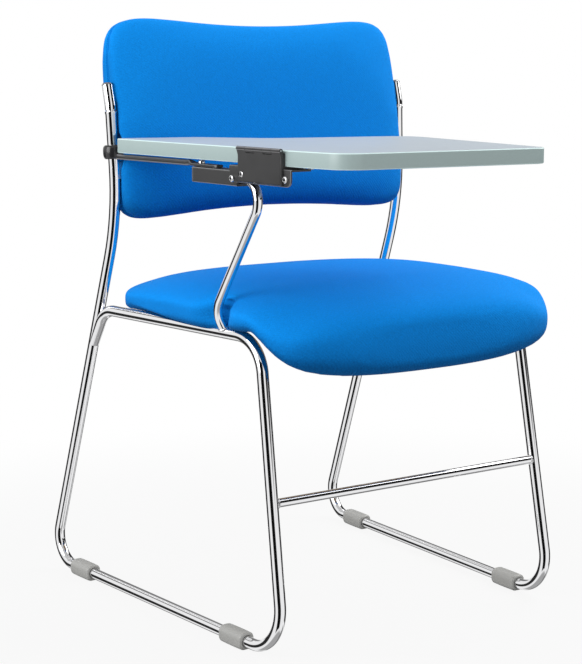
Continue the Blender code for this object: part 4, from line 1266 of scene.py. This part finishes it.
@dataclass
class Back:
    """The upholstered back: a front pad and a rear cover, sewn along the rim."""

    half: float = 0.2492
    lean: float = math.radians(8.0)
    top_z: float = 0.8200
    top_rise: float = 0.0235
    top_corner: float = 6.6
    bottom_z: float = 0.5555
    bottom_drop: float = 0.0195
    bottom_corner: float = 9.0
    split_y: float = 0.2000
    pivot_y: float = 0.2053
    end_depth: float = 0.3
    upper_square: float = 0.64
    lower_square: float = 0.47
    droop_power: int = 6
    section_count: int = 75
    section_crowd: float = 1.6
    rim_count: int = 401
    seam_gap: float = 0.0003
    sewn_d: float = 0.003
    rise: float = 0.0012
    tube_gap: float = 0.0002
    tube_reach: float = 0.003
    tube_points: int = 60
    collar_gap: float = 0.0005
    collar_reach: float = 0.004
    fill: float = 0.8
    stitch_pitch: float = 0.0030
    stitch_length: float = 0.0020
    stitch_r: float = 0.0005
    stitch_off: float = 0.0022

    @property
    def mid_z(self) -> float:
        """Middle height."""
        return (self.top_z + self.bottom_z) / 2

    def edges(self, x: float) -> tuple[float, float]:
        """Lower and upper edge at a place across the back."""
        share = x / self.half
        high = self.top_z + self.top_rise * share * share
        low = self.bottom_z - self.bottom_drop * share * share
        return (self.mid_z + (low - self.mid_z) * round_off(share, self.bottom_corner),
                self.mid_z + (high - self.mid_z) * round_off(share, self.top_corner))

    def rings(self, half: BackHalf, arc_steps: int = 48, seam_steps: int = 12) -> list[Ring]:
        """Cross sections of one half, flat at the seam.

        Args:
            half: Its form.
            arc_steps: Steps round its outer side.
            seam_steps: Steps along the seam.

        Returns:
            The sections, across the back.
        """
        rings = []
        seam_y = self.split_y + half.forward * self.seam_gap / 2
        for share in spread(self.section_count, self.section_crowd):
            x = share * self.half
            low, high = self.edges(x)
            depth = half.depth + half.hug * share * share
            reach = depth * (self.end_depth + (1 - self.end_depth) * round_off(share, half.corner))
            upper = self.upper_square + half.droop * share ** self.droop_power
            points = []
            for i in range(arc_steps + 1):
                angle = math.pi * (i / arc_steps - 0.5)
                off = self.seam_gap / 2 + reach * abs(math.cos(angle)) ** half.rim
                level = power(math.sin(angle), upper if angle > 0 else self.lower_square)
                z = (low + high) / 2 + (high - low) / 2 * level
                points.append(Vector((x, self.split_y + half.forward * off, z)))
            for i in range(1, seam_steps):
                points.append(Vector((x, seam_y, high + (low - high) * i / seam_steps)))
            rings.append(points)
        return rings

    def tilt(self) -> Matrix:
        """Turns the upright back to its lean."""
        pivot = Matrix.Translation((0, self.pivot_y, self.mid_z))
        return pivot @ Matrix.Rotation(-self.lean, 4, "X") @ pivot.inverted()

    def rim_loop(self) -> Ring:
        """The back's outline at the seam, once round."""
        xs = [share * self.half for share in spread(self.rim_count, self.section_crowd)]
        upper = [Vector((x, self.split_y, self.edges(x)[1])) for x in xs]
        lower = [Vector((x, self.split_y, self.edges(x)[0])) for x in reversed(xs)]
        return upper + lower

    def build_stitches(self, tilt: Matrix, pads: dict[int, bpy.types.Object]) -> None:
        """Two rows of thread beside the seam.

        Args:
            tilt: The back's lean.
            pads: The pad on each side of the seam, -1 for the front one.
        """
        state = bpy.context.evaluated_depsgraph_get()
        skins = {step: BVHTree.FromObject(pad, state) for step, pad in pads.items()}
        loop = [tilt @ spot for spot in self.rim_loop()]
        rear = tilt.to_3x3() @ Y
        places = []
        travelled = 0.0
        due = 0.0
        for a, b in zip(loop, loop[1:] + loop[:1]):
            run = b - a
            while due < travelled + run.length:
                spot = a + run * ((due - travelled) / run.length)
                for step, skin in skins.items():
                    place, outward, _, _ = skin.find_nearest(spot + rear * step * self.stitch_off)
                    places.append(self.stitch_frame(place, run.normalized(), outward))
                due += self.stitch_pitch
            travelled += run.length
        add_piece("back_seam_stitches", repeat_bead(places), FABRIC, Body.FRAME)

    def stitch_frame(self, spot: Vector, run: Vector, outward: Vector) -> Matrix:
        """Place and size of one plump stitch, half sunk in the cloth."""
        across = run.cross(outward).normalized()
        frame_of = Matrix((across, run.cross(across), run)).transposed().to_4x4()
        scale = Matrix.Diagonal((self.stitch_r, self.stitch_r, self.stitch_length / 2, 1.0))
        return Matrix.Translation(spot) @ frame_of @ scale

    def build(self, tubes: SideTubes, collar: Ring, collar_r: float) -> None:
        """Make both halves and press them round what stands beside them.

        Args:
            tubes: The side tubes.
            collar: Axis of the collar on the right upright.
            collar_r: The collar's radius.
        """
        tilt = self.tilt()
        pads = {}
        tube_r = tubes.tube_r
        for half in BACK_HALVES:
            piece = add_piece(half.name, loft(self.rings(half)), FABRIC, Body.FRAME, [half.node])
            Padding(rise=self.rise).swell(piece, lambda spot: abs(spot.y - self.split_y) < self.sewn_d)
            piece.data.transform(tilt)
            for sign in SIDES.values():
                upright = tubes.path(sign)[:self.tube_points]
                press(piece.data, upright, tube_r + self.tube_gap, tube_r + self.tube_reach)
            press(piece.data, collar, collar_r + self.collar_gap, collar_r + self.collar_reach)
            finish_pad(piece)
            pads[half.forward] = piece
        self.build_stitches(tilt, pads)
        dress_node("back_board")


@dataclass
class Tablet:
    """The writing tablet: board, edge band and the moving half of its hinge."""

    edge_x: float = -0.2544
    rear_y: float = 0.1625
    front_y: float = -0.3725
    inner_x: float = 0.124
    band_t: float = 0.0025
    band_round: float = 0.0018
    band_inset: float = 0.0002
    band_steps: int = 6
    gap: float = 0.0003
    board_ease: float = 0.0004
    leaf_edge: float = 0.0004

    def outline(self) -> tuple[list[tuple[float, float]], list[float]]:
        """Corners of the outline from above, clockwise, and their radii."""
        marks = (
            ((self.edge_x - 0.0110, self.rear_y), 0.008),
            ((-0.150, self.rear_y - 0.027), 0.045),
            ((-0.086, 0.0425), 0.070),
            ((self.inner_x, -0.0060), 0.040),
            ((0.053, self.front_y), 0.022),
            ((self.edge_x + 0.0104, self.front_y + 0.026), 0.036),
            ((self.edge_x, -0.2575), 0.400),
            ((self.edge_x, -0.1175), 0.400),
        )
        return [corner for corner, _ in marks], [radius for _, radius in marks]

    def loop(self, distance: float, z: float) -> Ring:
        """The outline moved inwards, at a height."""
        points = rounded_outline(*inset(*self.outline(), distance), step=math.radians(2.5))
        return [Vector((x, y, z)) for x, y in points]

    def build(self) -> None:
        """Make the board and its band, and dress the leaf and its screws."""
        low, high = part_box("tablet_board")
        edge = self.band_t + self.gap
        inner = edge + self.board_ease
        rings = [self.loop(inner, low.z), self.loop(edge, low.z + self.board_ease),
                 self.loop(edge, high.z - self.board_ease), self.loop(inner, high.z)]
        add_piece("tablet_laminate_board", loft(rings), LAMINATE, Body.TABLET, ["tablet_board"])
        band = loft([self.loop(*spot) for spot in self.band_section(low.z, high.z)], closed=True)
        add_piece("tablet_band", band, EDGING, Body.TABLET, ["tablet_edge_band"], 60.0)
        dress_node("hinge_leaf", self.leaf_edge)
        for place in ("front", "rear"):
            for i in (1, 2):
                build_screw(f"{place}_leaf_screw_{i}", HeadSide.DOWN, ZINC, Body.TABLET)

    def band_section(self, low: float, high: float) -> Outline:
        """Distance from the tablet's edge and height of the band's section, from its low inner corner."""
        size = self.band_round
        section = [(self.band_t, low + self.band_inset)]
        for start, middle_z in ((270, low + size), (180, high - size)):
            for i in range(self.band_steps + 1):
                angle = math.radians(start - 90 * i / self.band_steps)
                section.append((size * (1 + math.cos(angle)), middle_z + size * math.sin(angle)))
        return section + [(self.band_t, high - self.band_inset)]


@dataclass(frozen=True)
class ButtonHead:
    """Form of a button-head socket screw; shares are of the head's radius, rim of the socket's."""

    shank: float = 0.55
    socket: float = 0.50
    taper: float = 0.97
    rim: float = 1.22
    dome: float = 0.62
    socket_depth: float = 0.0018
    socket_edge: float = 0.0001
    steps: int = 48

    def rows(self, head: float, head_h: float, length: float) -> list[Outline]:
        """Radius and height of the points of each ring, from the socket's floor to the tip.

        Args:
            head: Radius of the head.
            head_h: Height of the head.
            length: Length of the whole screw.

        Returns:
            The rings, with the head's top at height 0.
        """
        socket = head * self.socket
        shank = head * self.shank
        rim = socket * self.rim
        floor = -self.socket_depth
        inside = [self.hexagon(socket * self.taper, floor), self.hexagon(socket, -self.socket_edge)]
        outside = [(rim + (head - rim) * s, -head_h * self.dome * (1 - c)) for c, s in quarter(8)]
        outside += [(head, -head_h), (shank, -head_h), (shank, -length), (TINY, -length)]
        return [[(TINY, floor)] * self.steps, *inside, *([spot] * self.steps for spot in outside)]

    def hexagon(self, size: float, height: float) -> Outline:
        """Radius and height of points round a hexagon with a given half width."""
        sector = math.pi / 3
        angles = [(math.tau * k / self.steps) % sector - sector / 2 for k in range(self.steps)]
        return [(size / math.cos(angle), height) for angle in angles]


def build_screw(node: str, side: HeadSide, finish: Finish, body: Body, head_h: float = 0.0030) -> None:
    """A button-head socket screw in the place of a plain one.

    Args:
        node: The solid that it stands for.
        side: Where its head looks.
        finish: Its finish.
        body: The body that it rides on.
        head_h: Height of its head.
    """
    low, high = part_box(node)
    up = Vector(side.value)
    axis = max(range(3), key=lambda i: abs(up[i]))
    top = (low + high) / 2
    top[axis] = high[axis] if up[axis] > 0 else low[axis]
    head = min(high[i] - low[i] for i in range(3) if i != axis) / 2
    form = ButtonHead()
    matrix = along(top, up)
    rings = []
    for row in form.rows(head, head_h, high[axis] - low[axis]):
        rings.append([matrix @ Vector((r * c, r * s, h)) for (r, h), (c, s) in zip(row, circle(form.steps))])
    add_piece(f"{node}_button", loft(rings), finish, body, [node])


NODE_EDGES = {"arm_box": 0.0015, "arm_box_cap": 0.0012, "hinge_plate": 0.0014, "hinge_pin": 0.0003,
              "rear_arm_nut": 0.0004, "front_arm_nut": 0.0004, "hinge_plate_nut": 0.0004}


@dataclass
class Arm:
    """The post, the black bracket and the brace that carry the tablet."""

    post_r: float = 0.0062
    post_axis_z: float = 0.6235
    post_lean: float = math.radians(35.7)
    post_corner_y: float = -0.1880
    post_foot_rise: float = 0.0305
    post_end_y: float = -0.0600
    post_bends: tuple[float, float] = (0.045, 0.028)
    post_sink: float = 0.5
    weld_out: float = 0.95
    weld_size: float = 0.0015
    bolt_head: float = 0.0026
    brace_bolt_head: float = 0.0042
    rod_r: float = 0.004
    rod_sag: float = 0.0006
    rod_rest: float = 0.0003
    rod_stations: tuple[float, ...] = (0.0, 0.5, 0.9, 0.93, 0.95, 0.97, 1.0)
    rod_steps: int = 32
    tab_t: float = 0.004
    tab_w: float = 0.014
    tab_rear_y: float = -0.0150
    tab_square: float = 0.4
    tab_round: float = 0.4
    flat_from: float = 0.010
    flat_run: float = 0.016
    flat_share: float = 0.3
    angle_wall: float = 0.0025
    angle_ear: float = 0.0095
    angle_corner: float = 0.0020
    angle_edge: float = 0.0012
    collar_r: float = 0.0145
    collar_low_z: float = 0.6335
    collar_h: float = 0.0195
    collar_gap: float = 0.0003
    collar_lip: float = 0.0012
    collar_inset: float = 0.02
    collar_square: float = 0.62
    collar_bulge: float = 0.85
    collar_split: float = 0.025
    collar_screw_head: float = 0.0020

    def post(self, tubes: SideTubes) -> Ring:
        """Axis of the post, from the right seat rail to its end in the box."""
        low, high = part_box("arm_box")
        arm_x = (low.x + high.x) / 2
        foot_z = tubes.rail_z + self.post_foot_rise
        foot_y = self.post_corner_y + math.tan(self.post_lean) * (self.post_axis_z - foot_z)
        corners = [tubes.rail_point(-1, foot_y), Vector((arm_x, foot_y, foot_z)),
                   Vector((arm_x, self.post_corner_y, self.post_axis_z)),
                   Vector((arm_x, self.post_end_y, self.post_axis_z))]
        return bent_path(corners, self.post_bends)

    def collar(self, tubes: SideTubes) -> Ring:
        """Axis of the collar on the right upright, from below."""
        return [tubes.on_run(-1, 0, z) for z in (self.collar_low_z, self.collar_low_z + self.collar_h)]

    def build(self, tubes: SideTubes) -> None:
        """Make the post, rod, collar and angle, and dress the rest of the bracket."""
        path = self.post(tubes)
        run = (path[1] - path[0]).normalized()
        start = path[0] + run * tubes.tube_r * self.post_sink
        shape = sweep([start] + path[1:], [self.post_r] * len(path))
        add_piece("tablet_post_tube", shape, CHROME, Body.FRAME, ["tablet_post"])
        weld = path[0] + run * tubes.tube_r * self.weld_out
        weld_bead("post_weld", weld, run, self.post_r, self.weld_size)
        self.build_rod(tubes)
        self.build_collar(tubes)
        self.build_angle()
        for node, bevel in NODE_EDGES.items():
            dress_node(node, bevel)
        for node in ("rear_arm_bolt", "front_arm_bolt", "hinge_plate_screw"):
            build_screw(node, HeadSide.OUTWARD, CHROME, Body.FRAME, self.bolt_head)
        build_screw("brace_bolt", HeadSide.UP, CHROME, Body.FRAME, self.brace_bolt_head)

    def build_angle(self) -> None:
        """Make the steel angle: a flange with rounded ears, and the web under the tablet."""
        low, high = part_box("arm_angle")
        corners = [(low.y, low.z), (low.y, high.z), (high.y, high.z), (high.y, low.z)]
        radii = [self.angle_ear, self.angle_corner, self.angle_corner, self.angle_ear]
        rings = []
        for c, s in quarter(5):
            outline = rounded_outline(*inset(corners, radii, self.angle_edge * (1 - s)))
            x = low.x + self.angle_edge * (1 - c)
            rings.append([Vector((x, y, z)) for y, z in outline])
        rings.append([Vector((low.x + self.angle_wall, y, z)) for _, y, z in rings[-1]])
        add_piece("arm_angle_flange", loft(rings), BLACK, Body.FRAME, ["arm_angle"], 60.0)
        outer = low.x + self.angle_edge
        sheet = [(outer, low.y), (outer, high.y), (high.x, high.y), (high.x, low.y)]
        plan = rounded_outline(sheet, [self.angle_corner] * 4)
        web = loft([[Vector((x, y, z)) for x, y in plan] for z in (high.z - self.angle_wall, high.z)])
        add_piece("arm_angle_web", web, BLACK, Body.FRAME)

    def rod_sections(self, front: float, rear: float) -> list[tuple[float, float, float, float]]:
        """Sections of the brace rod, from the collar to the tab's round end.

        Args:
            front: Where the tab ends.
            rear: Where the rod meets the collar.

        Returns:
            Place, half width, half height and squareness of each.
        """
        bar = (self.rod_r, self.rod_r, 1.0)
        flat = (self.tab_w / 2, self.tab_t / 2, self.tab_square)
        flat_y = self.tab_rear_y + self.flat_from
        sections = [(rear + (flat_y - rear) * share, *bar) for share in self.rod_stations]
        for i in range(1, 9):
            blend = ease(i / 8)
            form = (a + (b - a) * blend for a, b in zip(bar, flat))
            sections.append((flat_y - self.flat_run * i / 8, *form))
        tab_end = self.tab_w * self.tab_round
        sections.append((front + tab_end, *flat))
        for c, s in quarter(8)[1:-1]:
            wide = flat[0] * (self.tab_round + (1 - self.tab_round) * c)
            sections.append((front + tab_end * (1 - s), wide, *flat[1:]))
        return sections

    def build_rod(self, tubes: SideTubes) -> None:
        """The brace rod, round at the collar and pressed flat under its bolt."""
        low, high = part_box("brace_rod")
        bolt_low, bolt_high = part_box("brace_bolt")
        bolt_x = (bolt_low.x + bolt_high.x) / 2
        upright = tubes.on_run(-1, 0, (low.z + high.z) / 2)
        rest_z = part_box("arm_box")[1].z + self.rod_rest
        sections = self.rod_sections(low.y, high.y)
        end = sections[-1][0]
        skin = []
        for y, wide, tall, square in sections:
            share = (y - end) / (high.y - end)
            x = bolt_x + (upright.x - bolt_x) * max(0.0, (y - self.tab_rear_y) / (high.y - self.tab_rear_y))
            z = rest_z + tall if share < self.flat_share else rest_z + self.rod_r - self.rod_sag
            skin.append([Vector((x + wide * power(c, square), y, z + tall * power(s, square)))
                         for c, s in circle(self.rod_steps)])
        add_piece("brace_bar", loft(skin), BLACK, Body.FRAME, ["brace_rod"])

    def build_collar(self, tubes: SideTubes) -> None:
        """Two rounded half collars on the right upright, with their screws."""
        low, high = self.collar(tubes)
        matrix = along(low, high - low)
        height = (high - low).length
        inner = tubes.tube_r + self.collar_gap
        lip = inner + self.collar_lip
        section = [(inner, height * (1 - self.collar_inset)), (inner, height * self.collar_inset)]
        for i in range(17):
            angle = math.pi * (i / 16 - 0.5)
            section.append((lip + (self.collar_r - lip) * power(math.cos(angle), self.collar_square),
                            height / 2 * (1 + power(math.sin(angle), self.collar_bulge))))
        for place, start, finish in (("front", math.pi, GLOSS), ("rear", 0.0, BLACK)):
            rings = []
            for k in range(37):
                angle = start + self.collar_split + (math.pi - 2 * self.collar_split) * k / 36
                c, s = math.cos(angle), math.sin(angle)
                rings.append([matrix @ Vector((r * c, r * s, z)) for r, z in section])
            add_piece(f"brace_clamp_{place}", loft(rings), finish, Body.FRAME, [f"brace_collar_{place}"])
        for place in ("outer", "inner"):
            node = f"brace_collar_{place}_screw"
            build_screw(node, HeadSide.REAR, ZINC, Body.FRAME, self.collar_screw_head)


@dataclass(frozen=True)
class Card:
    """A dark card for mirror rays: its edges, in degrees round from the camera and up, and its level."""

    turn: tuple[float, float]
    rise: tuple[float, float]
    level: float


CARDS = (
    Card((-40.0, 16.0), (-46.0, 32.0), 0.004),
    Card((-180.0, -142.0), (-42.0, -19.0), 0.26),
    Card((-180.0, -150.0), (6.0, 34.0), 0.20),
    Card((-150.0, -92.0), (-30.0, -2.0), 0.025),
    Card((92.0, 152.0), (-30.0, 8.0), 0.035),
    Card((48.0, 102.0), (4.0, 46.0), 0.015),
    Card((126.0, 180.0), (6.0, 54.0), 0.03),
    Card((95.0, 180.0), (-62.0, -36.0), 0.22),
    Card((-150.0, -100.0), (29.0, 34.0), 0.06),
)


@dataclass(frozen=True)
class Softbox:
    """A square lamp: where it hangs, what it points at, its side and its power in watts."""

    name: str
    place: Spot
    aim: Spot
    size: float
    watts: float

    def build(self) -> None:
        """Hang the lamp, out of the camera's sight."""
        data = bpy.data.lights.new(self.name, "AREA")
        data.size = self.size
        data.energy = self.watts
        lamp = put(self.name, data)
        lamp.location = self.place
        lamp.rotation_euler = (Vector(self.aim) - lamp.location).to_track_quat("-Z", "Y").to_euler()
        lamp.visible_camera = False


SOFTBOXES = (
    Softbox("right_softbox", (1.7, -0.1, 1.9), (0, 0, 0.45), 1.8, 35.0),
    Softbox("left_softbox", (-2.4, 0.1, 1.3), (0, 0, 0.5), 1.6, 34.0),
)


@dataclass
class Studio:
    """The pale floor, soft lamps, white room and camera."""

    eye: Spot = (-1.44, -1.9645, 0.7695)
    azimuth: float = math.radians(-34.7)
    elevation: float = math.radians(8.887)
    lens: float = 93.98
    ambient: float = 0.87
    room: float = 0.95
    ceiling_dim: float = 0.35
    ceiling_edge: tuple[float, float] = (38.0, 8.0)
    ground_dim: float = 0.55
    ground_edge: tuple[float, float] = (-54.0, 10.0)
    card_side_soft: float = 8.0
    card_edge_soft: float = 4.0
    floor_half: float = 30.0
    floor_grey: float = 0.38
    floor_glow: float = 0.90
    shadow_glow: float = 0.10
    shadow_area: float = 0.9
    shadow_soft: float = 1.4

    def build(self) -> None:
        """Set up the whole studio."""
        bpy.context.scene.view_settings.view_transform = "Standard"
        self.build_camera()
        self.build_world()
        self.build_floor()
        for softbox in SOFTBOXES:
            softbox.build()

    def toward_eye(self) -> Vector:
        """Direction from the chair to the camera."""
        return Vector((math.sin(self.azimuth) * math.cos(self.elevation),
                       -math.cos(self.azimuth) * math.cos(self.elevation), math.sin(self.elevation)))

    def build_camera(self) -> None:
        """The camera at the photograph's viewing angle."""
        data = bpy.data.cameras.new("photo_view")
        data.lens = self.lens
        camera = put("photo_view", data)
        camera.location = self.eye
        camera.rotation_euler = (-self.toward_eye()).to_track_quat("-Z", "Y").to_euler()
        bpy.context.scene.camera = camera

    def build_world(self) -> None:
        """A white room, with dark cards that chrome reflects."""
        world = bpy.data.worlds.new("studio")
        world.use_nodes = True
        bpy.context.scene.world = world
        kit = Kit(world.node_tree)
        ahead = Vector((math.sin(self.azimuth), -math.cos(self.azimuth), 0))
        spot = kit.place("Generated")
        forward, right = (
            kit.node("ShaderNodeVectorMath", {"operation": "DOT_PRODUCT"}, {0: spot, 1: way}, "Value")
            for way in (ahead, ahead.cross(-Z)))
        turn = right.math("ARCTAN2", right, forward) / math.radians(1)
        height = kit.parts(spot)[2]
        rise = height.math("ARCSINE", height) / math.radians(1)
        ceiling = rise.above(*self.ceiling_edge)
        ground = 1 - rise.above(*self.ground_edge)
        level = self.room - ceiling * self.ceiling_dim - ground * self.ground_dim
        for card in CARDS:
            across = turn.within(*card.turn, self.card_side_soft)
            share = across * rise.within(*card.rise, self.card_edge_soft)
            level = level * (1 - share) + share * card.level
        direct, mirrored = kit.rays()
        plain = level * mirrored + (1 - mirrored) * self.ambient
        shown = plain * (1 - direct) + direct
        colour = kit.node("ShaderNodeCombineColor", {}, {0: shown, 1: shown, 2: shown})
        shader = kit.node("ShaderNodeBackground", {}, {"Color": colour, "Strength": 1.0})
        kit.node_out(shader, "ShaderNodeOutputWorld")

    def build_floor(self) -> None:
        """A plain white floor that keeps a soft shadow; chrome looks past it into the room."""
        shape = bmesh.new()
        bmesh.ops.create_grid(shape, x_segments=1, y_segments=1, size=self.floor_half)
        floor = put("floor", mesh_of("floor", shape))
        material = bpy.data.materials.new("floor")
        material.use_nodes = True
        kit = Kit(material.node_tree)
        lit = kit.node("ShaderNodeBsdfDiffuse", {}, {"Color": (*[self.floor_grey] * 3, 1.0)})
        glow = kit.node("ShaderNodeEmission", {}, {"Color": (1.0, 1.0, 1.0, 1.0), "Strength": 1.0})
        x, y, _ = kit.parts(kit.place())
        far = (x * x + y * y).above(self.shadow_area, self.shadow_soft)
        direct, _ = kit.rays()
        share = direct * (self.floor_glow + far * self.shadow_glow)
        shader = kit.node("ShaderNodeMixShader", {}, {0: share, 1: lit, 2: glow})
        kit.node_out(shader, "ShaderNodeOutputMaterial")
        floor.data.materials.append(material)
        floor.visible_glossy = False


def dress_hidden() -> None:
    """Finish the fittings that are mostly out of sight."""
    for side in SIDES:
        for place in ("lower", "upper"):
            dress_node(f"{side}_{place}_back_tab", 0.0004)
            dress_node(f"{side}_{place}_back_screw")
        for place in ("front", "rear"):
            build_screw(f"{place}_{side}_seat_screw", HeadSide.DOWN, ZINC, Body.FRAME)


def main() -> None:
    """Build the studio and the chair, piece by piece."""
    logging.basicConfig(level=logging.INFO, format="%(name)s: %(message)s")
    Studio().build()
    tubes = SideTubes()
    arm = Arm()
    tubes.build()
    Seat().build(tubes, arm.post(tubes), arm.post_r)
    Back().build(tubes, arm.collar(tubes), arm.collar_r)
    arm.build(tubes)
    Tablet().build()
    dress_hidden()


if __name__ == "__main__":
    main()
